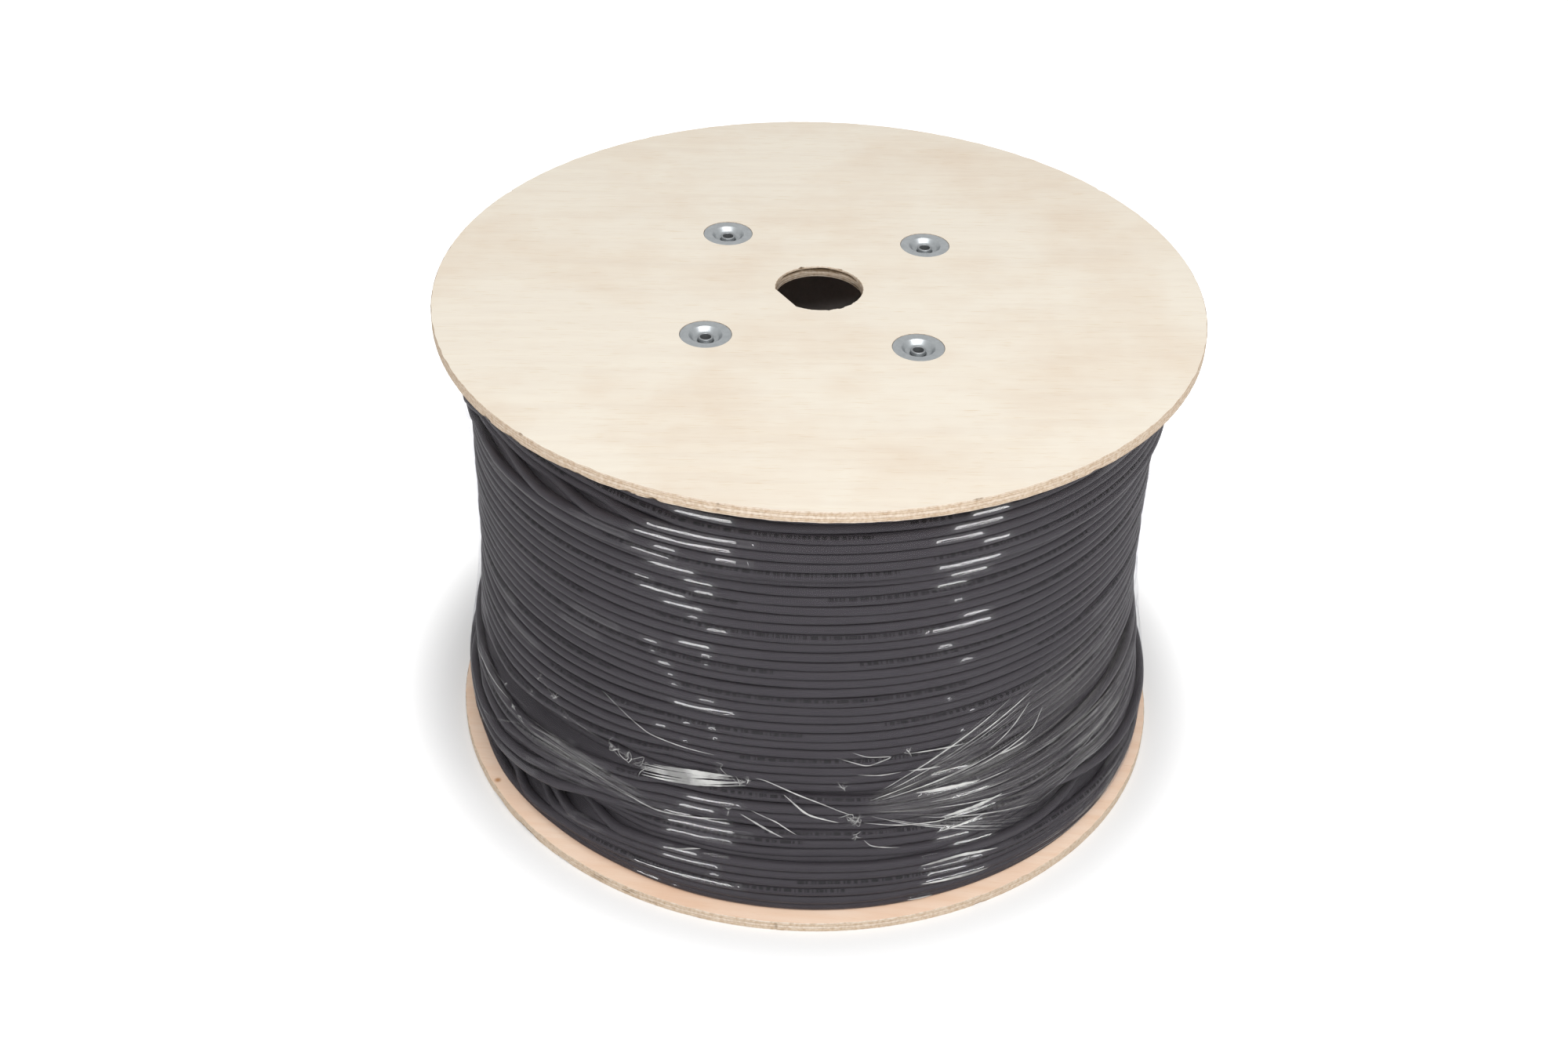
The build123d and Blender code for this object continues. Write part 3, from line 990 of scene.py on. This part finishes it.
# Stretches where the film clings to one turn: angles from and to, height in mm; and how many more
# are strewn round the sides and back
CLUNG_STRETCHES = (
    (-110.3, -100.8, 329), (-114.4, -97.5, 316), (-116.7, -106.2, 307), (-107.6, -100.8, 306),
    (-117.6, -109.7, 291), (-114.9, -106.2, 286), (-109.0, -103.4, 279), (-117.3, -113.4, 269),
    (-107.6, -103.4, 269), (-116.5, -107.6, 264), (-108.5, -106.0, 246), (-110.2, -104.1, 226),
    (-116.4, -112.7, 219), (-106.5, -104.0, 219), (-106.0, -104.6, 212), (-114.8, -113.4, 212),
    (-112.2, -110.2, 196), (-111.2, -109.5, 189), (-111.2, -100.2, 168), (-109.3, -107.5, 160),
    (-105.2, -103.3, 153), (-114.3, -111.5, 146), (-109.3, -107.8, 145), (-104.5, -102.9, 146),
    (-109.6, -103.0, 91), (-111.5, -97.4, 72), (-111.6, -99.8, 64), (-112.0, -105.2, 54),
    (-112.0, -101.9, 44), (-104.1, -101.9, 38), (-117.4, -98.3, 25), (-117.6, -111.7, 17),
    (-110.5, -108.6, 17), (-121.1, -119.6, 12), (-69.7, -61.2, 319), (-72.3, -64.2, 311),
    (-64.8, -59.5, 304), (-71.7, -60.3, 293), (-71.5, -65.7, 277), (-68.5, -66.0, 262),
    (-72.4, -60.5, 236), (-67.7, -66.2, 177), (-63.5, -62.0, 162), (-65.1, -63.5, 147),
    (-71.8, -60.9, 103), (-67.7, -57.0, 83), (-68.3, -59.9, 72), (-71.0, -60.0, 46),
    (-70.7, -59.3, 26), (-72.8, -68.5, 13), (-66.0, -58.0, 57), (-112.2, -100.4, 83),
    (-108.4, -98.9, 98), (-106.0, -99.2, 31), (-113.5, -109.0, 301), (-104.0, -98.0, 299),
    (-112.5, -105.0, 256), (-105.5, -101.5, 239), (-113.8, -110.6, 204), (-106.8, -103.6, 182),
    (-69.8, -62.4, 118), (-66.2, -58.6, 93), (-69.0, -62.3, 64), (-70.2, -62.8, 36),
    (-67.0, -60.4, 327), (-69.5, -62.5, 285), (-66.5, -61.0, 250), (-70.0, -66.8, 221),
    (-66.0, -63.2, 206),
)
STREWN_STRETCHES = 150
# There it lies as a flat strip on the upper side of the turn: share of its slope at each row from
# the crest; how steeply it lies, in degrees, at the floor, and by how much less at a metre of
# height; how high it sits on the turn and how far its edge sinks; how its ends fade, as a share of
# its length, and at most in degrees
STRIP_SHARES = (0.0, 1.06, 1.08, 0.95)
STRIP_TILT, STRIP_EASING = 32.5, 32.6
STRIP_SEAT, STRIP_SINK = 1.6 * MM, 1.2 * MM
FADE_SHARE, MOST_FADE = 0.35, 1.6
film_rng = np.random.default_rng(29)
film_row = np.arange(TURNS * ROWS_PER_TURN + 1)[:, None]
film_turn = np.clip(film_row / ROWS_PER_TURN, 0.06, TURNS - 0.06)
fine_angles = np.linspace(*FINE_SECTOR, FINE_STEPS, endpoint=False)
plain_angles = np.linspace(
    FINE_SECTOR[1], FINE_SECTOR[0] + 360, FILM_STEPS - FINE_STEPS, endpoint=False
)
film_angle = np.radians(np.concatenate([fine_angles, plain_angles]))[None, :]
film_height = turn_height(film_turn, film_angle) + 0 * film_angle
bare_radius = wound_outside(film_angle + 0 * film_turn, film_height) + FILM_CLEARANCE
below = np.floor(film_turn - 0.1).astype(int).clip(0)[:, 0]
above = np.floor(film_turn + 0.1).astype(int)[:, 0]
bare_radius = bare_radius + np.maximum(
    [turn_lift(n, film_angle[0]) for n in below], [turn_lift(n, film_angle[0]) for n in above]
)
tight_radius = bare_radius.copy()
for reach in range(1, FILM_REACH):
    middle = 0.5 * (tight_radius[: -2 * reach] + tight_radius[2 * reach :])
    tight_radius[reach:-reach] = np.maximum(tight_radius[reach:-reach], middle)
crossing_share = ((film_angle - ROUTE_START) / (2 * math.pi)) % 1
side_by_side = 1 - ease((crossing_share - CROSSING_START) / 0.05)
cling = TIGHT_SHARE * (1 + 0.2 * ripple(film_angle + 0.9 * np.floor(film_turn), 61, 6, 40, 12))
spanned = np.clip(tight_radius - bare_radius - SPAN_START, 0, None)
cling = cling * side_by_side * np.exp(-spanned / SPAN_FADE)
film_radius = tight_radius - np.array(FILM_DIPS)[film_row % ROWS_PER_TURN] * MM * cling
stretches = list(CLUNG_STRETCHES)
for _ in range(STREWN_STRETCHES):
    start = film_rng.uniform(-50, 235)
    stretches.append((start, start + film_rng.uniform(2, 11), film_rng.uniform(15, 340)))
clung = np.zeros(film_radius.shape)
for start, end, height in stretches:
    number = max(round((height * MM - STRIP_SEAT - winding_low[2]) / turn_rise - 0.5), 0)
    crest = number * ROWS_PER_TURN + ROWS_PER_TURN // 2
    off = np.degrees(off_angle(film_angle[0], (start + end) / 2))
    fade = min(FADE_SHARE * (end - start), MOST_FADE)
    held = ease(((end - start + fade) / 2 - abs(off)) / fade) * side_by_side[0]
    slope = math.tan(math.radians(STRIP_TILT - STRIP_EASING * height * MM))
    slope = slope * (1 + 0.03 * ripple(film_angle[0], 71 + number, 15, 60, 7))
    facet = film_height[crest + 2] - film_height[crest]
    lift = np.clip(STRIP_SHARES[2] * slope * facet - STRIP_SINK, 0, None)
    for row, share in enumerate(STRIP_SHARES, start=crest):
        strip = tight_radius[crest] + lift - slope * (film_height[row] - film_height[crest]) * share
        film_radius[row] += held * (strip - film_radius[row])
        clung[row] = np.maximum(clung[row], held * min(0.3 + (end - start) / 8, 1))
film_points = polar(film_radius, film_angle, film_height)
row_count = film_points.shape[0]
corner = np.arange(row_count * FILM_STEPS).reshape(row_count, FILM_STEPS)
right = np.roll(corner, -1, axis=1)
film_faces = np.stack([corner[:-1], right[:-1], right[1:], corner[1:]], axis=2).reshape(-1, 4)
film_mesh = bpy.data.meshes.new("film_wrap")
film_mesh.from_pydata(film_points.reshape(-1, 3).tolist(), [], film_faces.tolist())
film_mesh.shade_smooth()

# Gathered film spreads in a fan from the place where it is bunched: angle and height of the place,
# rise of the fan's middle line, its half height at the place, growth of that and most of it, length
# over which it starts, and full length; lengths are in mm
FAN_ANGLE, FAN_HEIGHT = -81, 100
FAN_RISE, FAN_HALF, FAN_GROWTH, FAN_MOST = 0.10, 5, 0.50, 72
FAN_START, FAN_LENGTH = 14, 300
MM_PER_DEGREE = FILM_GIRTH_RADIUS / MM * math.radians(1)


def fan_line(reach, across):
    """Place on the fan, as angle and height in mm, at its reach in mm and share across."""
    spread = np.minimum(FAN_HALF + FAN_GROWTH * reach, FAN_MOST)
    return FAN_ANGLE + reach / MM_PER_DEGREE, FAN_HEIGHT + FAN_RISE * reach + across * spread


fan_along = np.degrees(off_angle(film_angle, FAN_ANGLE)) * MM_PER_DEGREE + 0 * film_turn
fan_middle = fan_line(np.clip(fan_along, 0, None), 0.0)[1]
fan_edge = fan_line(np.clip(fan_along, 0, None), 1.0)[1]
fan_across = (film_height / MM - fan_middle) / (fan_edge - fan_middle)
gathered = 1 - ease((fan_along - 0.6 * FAN_LENGTH) / (0.4 * FAN_LENGTH))
gathered = gathered * ease(fan_along / FAN_START) * (1 - ease((abs(fan_across) - 0.5) / 0.5))
for name, values in (
    ("clung", clung),
    ("gathered", gathered),
    ("fan_along", fan_along * MM),
    ("fan_across", fan_across),
):
    film_mesh.attributes.new(name, "FLOAT", "POINT").data.foreach_set("value", values.ravel())

# Clear film, blown thin: sharp glints where it clings to a turn, the cable showing through, and a
# milky streaked haze where it is gathered
film, tree, surface = new_material("polyethylene_stretch_film")
place = add_node(tree, "ShaderNodeTexCoord").outputs["Object"]
crease = add_node(
    tree, "ShaderNodeTexNoise", {"Vector": place, "Scale": 1 / (30 * MM), "Detail": 3.0}
)
bump = add_node(tree, "ShaderNodeBump", {"Height": crease, "Strength": 0.06, "Distance": 0.8 * MM})
shine = add_node(tree, "ShaderNodeFresnel", {"IOR": 1.5, "Normal": bump})
shine = add_node(tree, "ShaderNodeMapRange", {"Value": shine, 1: 0.04, 2: 0.5, 3: 0.004, 4: 0.02})
tight = add_node(tree, "ShaderNodeAttribute", attribute_name="clung").outputs["Fac"]
shine = add_node(tree, "ShaderNodeMath", {0: tight, 1: 0.026, 2: shine}, operation="MULTIPLY_ADD")
clear = add_node(tree, "ShaderNodeBsdfTransparent", {"Color": srgb("#F7F7F8")})
gloss = add_node(tree, "ShaderNodeBsdfGlossy", {"Roughness": 0.035, "Normal": bump})
skin_film = add_node(tree, "ShaderNodeMixShader", {0: shine, 1: clear, 2: gloss})
amount = add_node(tree, "ShaderNodeAttribute", attribute_name="gathered").outputs["Fac"]
run = add_node(tree, "ShaderNodeAttribute", attribute_name="fan_along").outputs["Fac"]
lane = add_node(tree, "ShaderNodeAttribute", attribute_name="fan_across").outputs["Fac"]
lines = add_node(tree, "ShaderNodeCombineXYZ", {"X": run, "Y": lane})
lines = add_node(tree, "ShaderNodeMapping", {"Vector": lines, "Scale": (1 / (70 * MM), 40, 1)})
lines = add_node(tree, "ShaderNodeTexNoise", {"Vector": lines, "Scale": 1.0, "Detail": 4.0})
lines = add_node(tree, "ShaderNodeMapRange", {"Value": lines, 1: 0.47, 2: 0.74, 3: 0.004, 4: 0.17})
haze = add_node(tree, "ShaderNodeMath", {0: lines, 1: amount}, operation="MULTIPLY")
milky = add_node(tree, "ShaderNodeBsdfDiffuse", {"Color": srgb("#C4C3BE")})
mixed = add_node(tree, "ShaderNodeMixShader", {0: haze, 1: skin_film, 2: milky})
tree.links.new(mixed.outputs[0], surface)
film_piece = finish_piece("film_wrap", film_mesh, [film], ["stretch_film"])

# Pleats and strands of the gathered film: narrow folds that lie on the wrap, each as its half width
# and its places by angle and height in mm
BRIGHT_FOLDS = (
    (0.45, (-82.2, 145.2), (-79.9, 140.5), (-75.7, 139.3), (-79.8, 132.9), (-84.6, 141.4)),
    (0.55, (-97.0, 121.5), (-95.7, 120.8), (-92.6, 115.3), (-87.4, 105.3), (-82.1, 94.2)),
    (0.75, (-92.6, 110.3), (-90.4, 101.0), (-88.7, 94.9), (-84.1, 88.5)),
    (0.80, (-99.2, 90.9), (-95.5, 83.0), (-92.6, 75.9)),
    (0.50, (-97.5, 95.0), (-93.5, 88.0), (-90.5, 79.0)),
    (0.45, (-80.1, 87.1), (-74.0, 82.0), (-68.1, 79.0), (-63.0, 80.0), (-60.1, 80.8)),
    (0.45, (-80.1, 73.5), (-79.9, 71.3), (-79.0, 68.6), (-74.6, 64.3)),
    (0.45, (-81.3, 126.5), (-77.8, 124.7), (-74.3, 125.1)),
    (0.70, (-73.2, 125.1), (-68.0, 123.3)),
    (0.55, (-73.4, 139.4), (-68.5, 138.5), (-63.3, 136.7)),
    (1.60, (-71.8, 105.4), (-66.5, 104.0), (-60.9, 102.2)),
    (1.50, (-67.7, 81.7), (-62.0, 82.0), (-56.7, 83.7)),
    (0.70, (-61.6, 113.7), (-55.8, 119.2), (-50.4, 125.9), (-48.4, 139.4)),
    (0.60, (-58.9, 125.3), (-54.9, 135.6), (-51.4, 150.3)),
    (1.30, (-71.0, 45.4), (-67.5, 46.5), (-64.3, 46.8), (-57.9, 41.3)),
    (1.20, (-70.7, 27.7), (-65.0, 26.5), (-59.3, 24.4)),
    (0.60, (-72.8, 14.7), (-68.5, 11.5)),
    (0.70, (-57.9, 117.2), (-51.7, 118.5)),
    (0.80, (-68.3, 69.8), (-64.0, 71.0), (-59.9, 73.1)),
    (0.35, (-123.4, 157.3), (-118.7, 146.1), (-114.8, 138.0), (-109.1, 135.7), (-103.8, 135.0)),
    (0.65, (-119.0, 80.4), (-115.5, 78.8), (-112.7, 77.7), (-106.6, 81.3), (-101.3, 84.8)),
    (0.80, (-111.0, 50.5), (-108.0, 53.5), (-105.2, 56.4)),
)
FAINT_FOLDS = (
    (0.5, (-125.2, 85.4), (-122.6, 81.7), (-117.5, 79.7), (-112.7, 76.5)),
    (0.5, (-158.0, 52.0), (-152.1, 56.9), (-147.0, 70.0), (-142.7, 80.7)),
    (0.55, (-142.7, 80.7), (-133.3, 86.5), (-125.2, 85.4), (-121.7, 81.7)),
    (0.5, (-142.0, 84.0), (-134.0, 92.0), (-125.0, 92.0), (-118.0, 86.0)),
    (0.7, (-44.8, 78.6), (-36.9, 81.8), (-28.0, 94.5)),
    (0.7, (-49.5, 60.9), (-38.4, 69.0), (-22.3, 65.1)),
    (0.6, (-138.2, 133.9), (-131.0, 118.0), (-122.0, 115.0), (-115.7, 109.0)),
)
# Line of the bundle of strands along the band above the bottom one, by angle and height in mm
STRAND_BUNDLE = (
    (-144, 76), (-136.7, 82), (-127.1, 85), (-117.5, 81.2), (-110.1, 77.8), (-101.7, 84.1),
)
# Bunched bits: angle, height in mm, reach in mm, folds in the bit
BITS = (
    (-81.7, 90.9, 4.5, 11), (-81.3, 77.2, 2.2, 3), (-145.0, 88.0, 3.5, 5),
    (-143.2, 85.5, 3.0, 4), (-148.4, 98.5, 2.5, 2), (-138.2, 133.5, 2.5, 2),
    (-134.3, 126.0, 3.5, 3), (-131.7, 116.0, 3.0, 3), (-140.5, 116.0, 3.0, 1),
    (-121.4, 114.5, 4.5, 5), (-118.9, 112.0, 4.5, 5), (-116.3, 109.5, 4.5, 6),
    (-99.6, 117.5, 3.5, 5), (-98.2, 120.5, 3.0, 4), (-102.6, 127.0, 4.5, 4),
    (-101.3, 92.5, 3.0, 3), (-83.5, 118.0, 4.0, 3), (-73.8, 141.5, 2.5, 2),
)
# Folds that are strewn: in the crumpled patch left of the fan, in the fan, on the right side, in
# the bundle and round the back; spacing of a fold's points and heights that it stays between, in mm
PATCH_FOLDS, FAN_PLEATS, SIDE_STRANDS, BUNDLE_STRANDS, BACK_STRANDS = 11, 70, 52, 44, 90
FOLD_SPACING = 2.5
FOLD_HEIGHTS = (10.5, 344)


def film_outside(angle, height):
    """Radius of the wrap's outside at angles in degrees and heights in mm."""
    turned = np.radians((angle - FINE_SECTOR[0]) % 360 + FINE_SECTOR[0])
    columns = np.searchsorted(film_angle[0], turned) % FILM_STEPS
    return np.array(
        [np.interp(h * MM, film_height[:, c], tight_radius[:, c]) for c, h in zip(columns, height)]
    )


def add_fold(curve, half_width, places, lift):
    """One fold on the wrap, tapered to both ends, as a spline whose radius is its half width."""
    places = np.array(places, dtype=float)
    runs = np.hypot(np.diff(places[:, 0]) * MM_PER_DEGREE, np.diff(places[:, 1]))
    marks = np.concatenate([[0], np.cumsum(runs)])
    count = max(int(marks[-1] / FOLD_SPACING), 5)
    spots = np.linspace(0, marks[-1], count)
    angle = np.interp(spots, marks, places[:, 0])
    height = np.interp(spots, marks, places[:, 1])
    for values in (angle, height):
        for _ in range(2):
            values[1:-1] = 0.5 * values[1:-1] + 0.25 * (values[:-2] + values[2:])
    height = np.clip(height, *FOLD_HEIGHTS)
    radius = film_outside(angle, height) + (0.15 + lift * np.sin(np.pi * spots / marks[-1])) * MM
    share = np.clip(np.linspace(0, 1, count), 0.02, 0.98)
    taper = np.sin(np.pi * share) ** 0.6 * (1 + film_rng.uniform(-0.3, 0.3, count))
    line = add_line(curve, polar(radius, np.radians(angle), height * MM))
    line.points.foreach_set("radius", half_width * MM * taper)


def fold_tree():
    """Sweeps a low half-round fold along each line, as wide as the line's radius."""
    inputs = {"Height Share": "Float", "Sides": "Int", "Material": "Material"}
    tree, given = start_tree("film_fold_along_its_line", inputs)
    upright = add_node(
        tree, "GeometryNodeSetCurveNormal", {"Curve": given["Geometry"]}, mode="Z_UP"
    )
    half_round = add_node(
        tree,
        "GeometryNodeCurveArc",
        {
            "Resolution": given["Sides"],
            "Radius": 1.0,
            "Start Angle": -math.pi / 2,
            "Sweep Angle": math.pi,
        },
    )
    flatten = add_node(
        tree, "ShaderNodeCombineXYZ", {"X": given["Height Share"], "Y": 1.0, "Z": 1.0}
    )
    low = add_node(tree, "GeometryNodeTransform", {"Geometry": half_round, "Scale": flatten})
    width = add_node(tree, "GeometryNodeInputRadius")
    swept = add_node(
        tree, "GeometryNodeCurveToMesh", {"Curve": upright, "Profile Curve": low, "Scale": width}
    )
    return end_tree(tree, swept, given["Material"])


def bunched_film(name, least, most):
    """Film in many layers: milky white with a wet gloss, clearer or thicker from place to place."""
    material, tree, surface = new_material(name)
    place = add_node(tree, "ShaderNodeTexCoord").outputs["Object"]
    layers = add_node(
        tree, "ShaderNodeTexNoise", {"Vector": place, "Scale": 1 / (20 * MM), "Detail": 4.0}
    )
    layers = add_node(
        tree, "ShaderNodeMapRange", {"Value": layers, 1: 0.36, 2: 0.62, 3: least, 4: most}
    )
    clear = add_node(tree, "ShaderNodeBsdfTransparent")
    milky = add_node(
        tree,
        "ShaderNodeBsdfPrincipled",
        {"Base Color": srgb("#BDBDBB"), "Roughness": 0.42, "Specular IOR Level": 0.3},
    )
    mixed = add_node(tree, "ShaderNodeMixShader", {0: layers, 1: clear, 2: milky})
    tree.links.new(mixed.outputs[0], surface)
    return material


bright_curve, faint_curve = new_curve("bright_folds"), new_curve("faint_folds")
for half_width, *places in BRIGHT_FOLDS:
    add_fold(bright_curve, half_width, places, 0.4)
for half_width, *places in FAINT_FOLDS:
    add_fold(faint_curve, half_width, places, 0.3)
for share in np.linspace(0, 1, PATCH_FOLDS):
    start, end = film_rng.uniform(-116.5, -112.8), film_rng.uniform(-102.5, -98.5)
    places = ((start, 101.5 + 12 * share), (-107.4, 106.8 + 11.5 * share), (end, 114.5 + 6 * share))
    add_fold(bright_curve, film_rng.uniform(0.55, 0.85), places, 0.3)
for _ in range(FAN_PLEATS):
    across = film_rng.uniform(-1, 1)
    start = film_rng.uniform(6, 75)
    end = start + film_rng.uniform(18, 95)
    places = [fan_line(reach, across) for reach in np.linspace(start, end, 5)]
    bright = film_rng.random() < 0.20
    add_fold(bright_curve if bright else faint_curve, film_rng.uniform(0.2, 0.5), places, 0.2)
for number in range(SIDE_STRANDS):
    start, end = film_rng.uniform(-58, -32), film_rng.uniform(-30, -12)
    height = film_rng.uniform(62, 108) if number % 3 else film_rng.uniform(14, 36)
    rise = film_rng.uniform(-4, 3)
    places = ((start, height), (end, height + rise))
    add_fold(faint_curve, film_rng.uniform(0.25, 0.55), places, 0.1)
for _ in range(BUNDLE_STRANDS):
    shift = film_rng.normal(0, 6.5)
    first, last = film_rng.integers(0, 3), film_rng.integers(3, 6)
    places = [(a, h + shift * (1.5 - 0.25 * i)) for i, (a, h) in enumerate(STRAND_BUNDLE)]
    add_fold(faint_curve, film_rng.uniform(0.14, 0.34), places[first:last], 0.2)
for angle, height, reach, count in BITS:
    for _ in range(count + 2):
        spots = film_rng.normal(0, 0.8, (4, 2)) * reach
        places = [(angle + s[0] / MM_PER_DEGREE, height + s[1]) for s in spots]
        bright = film_rng.random() < 0.5
        half_width, stands = film_rng.uniform(0.15, 0.35), film_rng.uniform(0.4, 1.6)
        add_fold(bright_curve if bright else faint_curve, half_width, places, stands)
for _ in range(BACK_STRANDS):
    start, height = film_rng.uniform(-10, 196), film_rng.normal(88, 20)
    end, rise = start + film_rng.uniform(6, 34), film_rng.normal(0, 7)
    bright = film_rng.random() < 0.12
    places = ((start, height), (0.6 * start + 0.4 * end, height + 0.7 * rise), (end, height + rise))
    add_fold(bright_curve if bright else faint_curve, film_rng.uniform(0.2, 0.5), places, 0.2)

folds = fold_tree()
for name, curve, layered in (
    ("film_folds", bright_curve, bunched_film("polyethylene_film_bunched", 0.4, 0.9)),
    ("film_creases", faint_curve, bunched_film("polyethylene_film_creased", 0.03, 0.22)),
):
    values = {"Height Share": 0.35, "Sides": 5, "Material": layered}
    mesh = mesh_from_tree(name, curve, folds, values)
    mesh.shade_smooth()
    finish_piece(name, mesh, [layered], [])

# Floor, light and camera: a white sweep under a studio sky, two soft boxes in front and one
# overhead, and the camera where the photograph was taken from.
FLOOR_HALF = 30
# Distance from the axis at which the floor starts to lift to plain white and where it is white,
# and how much it lifts there; the weaker lift near the drum paints a ring of shade round its foot
LIFT_START, LIFT_END = 0.264, 0.36
LEAST_LIFT, MOST_LIFT = 0.10, 0.85
SKY_LIGHT = 0.40


def seen_rays(tree):
    """1 on rays that carry what the camera sees, straight, mirrored or through film, else 0."""
    rays = add_node(tree, "ShaderNodeLightPath").outputs
    seen = rays["Is Camera Ray"]
    for kind in ("Is Glossy Ray", "Is Transmission Ray"):
        seen = add_node(tree, "ShaderNodeMath", {0: seen, 1: rays[kind]}, operation="MAXIMUM")
    return seen


corners = [(x * FLOOR_HALF, y * FLOOR_HALF, 0) for x, y in ((-1, -1), (1, -1), (1, 1), (-1, 1))]
floor_mesh = bpy.data.meshes.new("studio_floor")
floor_mesh.from_pydata(corners, [], [(0, 1, 2, 3)])
floor = add_object("studio_floor", floor_mesh)
# White paper: matte, with its real soft shadow under the drum, a painted ring of shade round the
# drum's foot where its glow to the eye is weaker, and plain white further out
paper, tree, surface = new_material("white_paper_sweep")
seen = seen_rays(tree)
place = add_node(tree, "ShaderNodeTexCoord").outputs["Object"]
reach = add_node(tree, "ShaderNodeVectorMath", {0: place}, operation="LENGTH").outputs["Value"]
# Painted shade: the glow is weaker close to the drum, so the floor reads darker there than its
# shadow alone makes it
lift = add_node(
    tree,
    "ShaderNodeMapRange",
    {"Value": reach, 1: LIFT_START, 2: LIFT_END, 3: LEAST_LIFT, 4: MOST_LIFT},
    interpolation_type="SMOOTHSTEP",
)
lift = add_node(tree, "ShaderNodeMath", {0: seen, 1: lift}, operation="MULTIPLY")
matte = add_node(tree, "ShaderNodeBsdfDiffuse", {"Color": srgb("#E4E4E4")})
glow = add_node(tree, "ShaderNodeEmission", {"Color": (1, 1, 1, 1), "Strength": lift})
both = add_node(tree, "ShaderNodeAddShader", {0: matte, 1: glow})
tree.links.new(both.outputs[0], surface)
paper.cycles.emission_sampling = "NONE"
floor_mesh.materials.append(paper)

world = bpy.data.worlds.new("studio_sky")
bpy.context.scene.world = world
world.use_nodes = True
tree = world.node_tree
tree.nodes.clear()
seen = seen_rays(tree)
level = add_node(tree, "ShaderNodeMapRange", {"Value": seen, 3: SKY_LIGHT, 4: 1.0})
sky = add_node(tree, "ShaderNodeBackground", {"Color": (1, 1, 1, 1), "Strength": level})
add_node(tree, "ShaderNodeOutputWorld", {"Surface": sky})

# Soft boxes: azimuth and elevation in degrees, distance, width and height in metres, power in watts
LIGHT_AIM = Vector((0, 0, 0.2))
for name, azimuth, elevation, distance, width, height, power in (
    ("left_soft_box", -126, 8, 2.1, 1.2, 0.2, 15.0),
    ("right_soft_box", -40, 5.5, 2.1, 1.0, 0.2, 13.0),
    ("front_soft_box", -76, 50, 3.0, 3.2, 0.8, 68.0),
):
    lamp = bpy.data.lights.new(name, "AREA")
    lamp.shape = "RECTANGLE"
    lamp.size = width
    lamp.size_y = height
    lamp.energy = power
    holder = add_object(name, lamp)
    a, e = math.radians(azimuth), math.radians(elevation)
    away = Vector((math.cos(e) * math.cos(a), math.cos(e) * math.sin(a), math.sin(e)))
    holder.location = LIGHT_AIM + away * distance
    holder.rotation_euler = (-away).to_track_quat("-Z", "Y").to_euler()

# Camera, as fitted to the photograph
CAMERA_ELEVATION = math.radians(35.372)
CAMERA_DISTANCE = 1.5382
CAMERA_AIM_HEIGHT = 0.17596
CAMERA_PAN, CAMERA_TILT, CAMERA_ROLL = 0.737, -0.662, -2.063
CAMERA_LENS = 47.71
SENSOR_WIDTH = 36
camera = bpy.data.cameras.new("camera")
camera.lens = CAMERA_LENS
camera.sensor_width = SENSOR_WIDTH
camera_stand = add_object("camera", camera)
away = Vector((0, -math.cos(CAMERA_ELEVATION), math.sin(CAMERA_ELEVATION)))
right_hand = Vector((1, 0, 0))
upward = right_hand.cross(-away)
view = Matrix((right_hand, upward, away)).transposed()
view = view @ Matrix.Rotation(math.radians(CAMERA_PAN), 3, "Y")
view = view @ Matrix.Rotation(math.radians(CAMERA_TILT), 3, "X")
view = view @ Matrix.Rotation(math.radians(CAMERA_ROLL), 3, Vector((0, 0, -1)))
camera_place = away * CAMERA_DISTANCE + Vector((0, 0, CAMERA_AIM_HEIGHT))
camera_stand.matrix_world = Matrix.Translation(camera_place) @ view.to_4x4()
bpy.context.scene.camera = camera_stand
bpy.context.scene.view_settings.view_transform = "Standard"
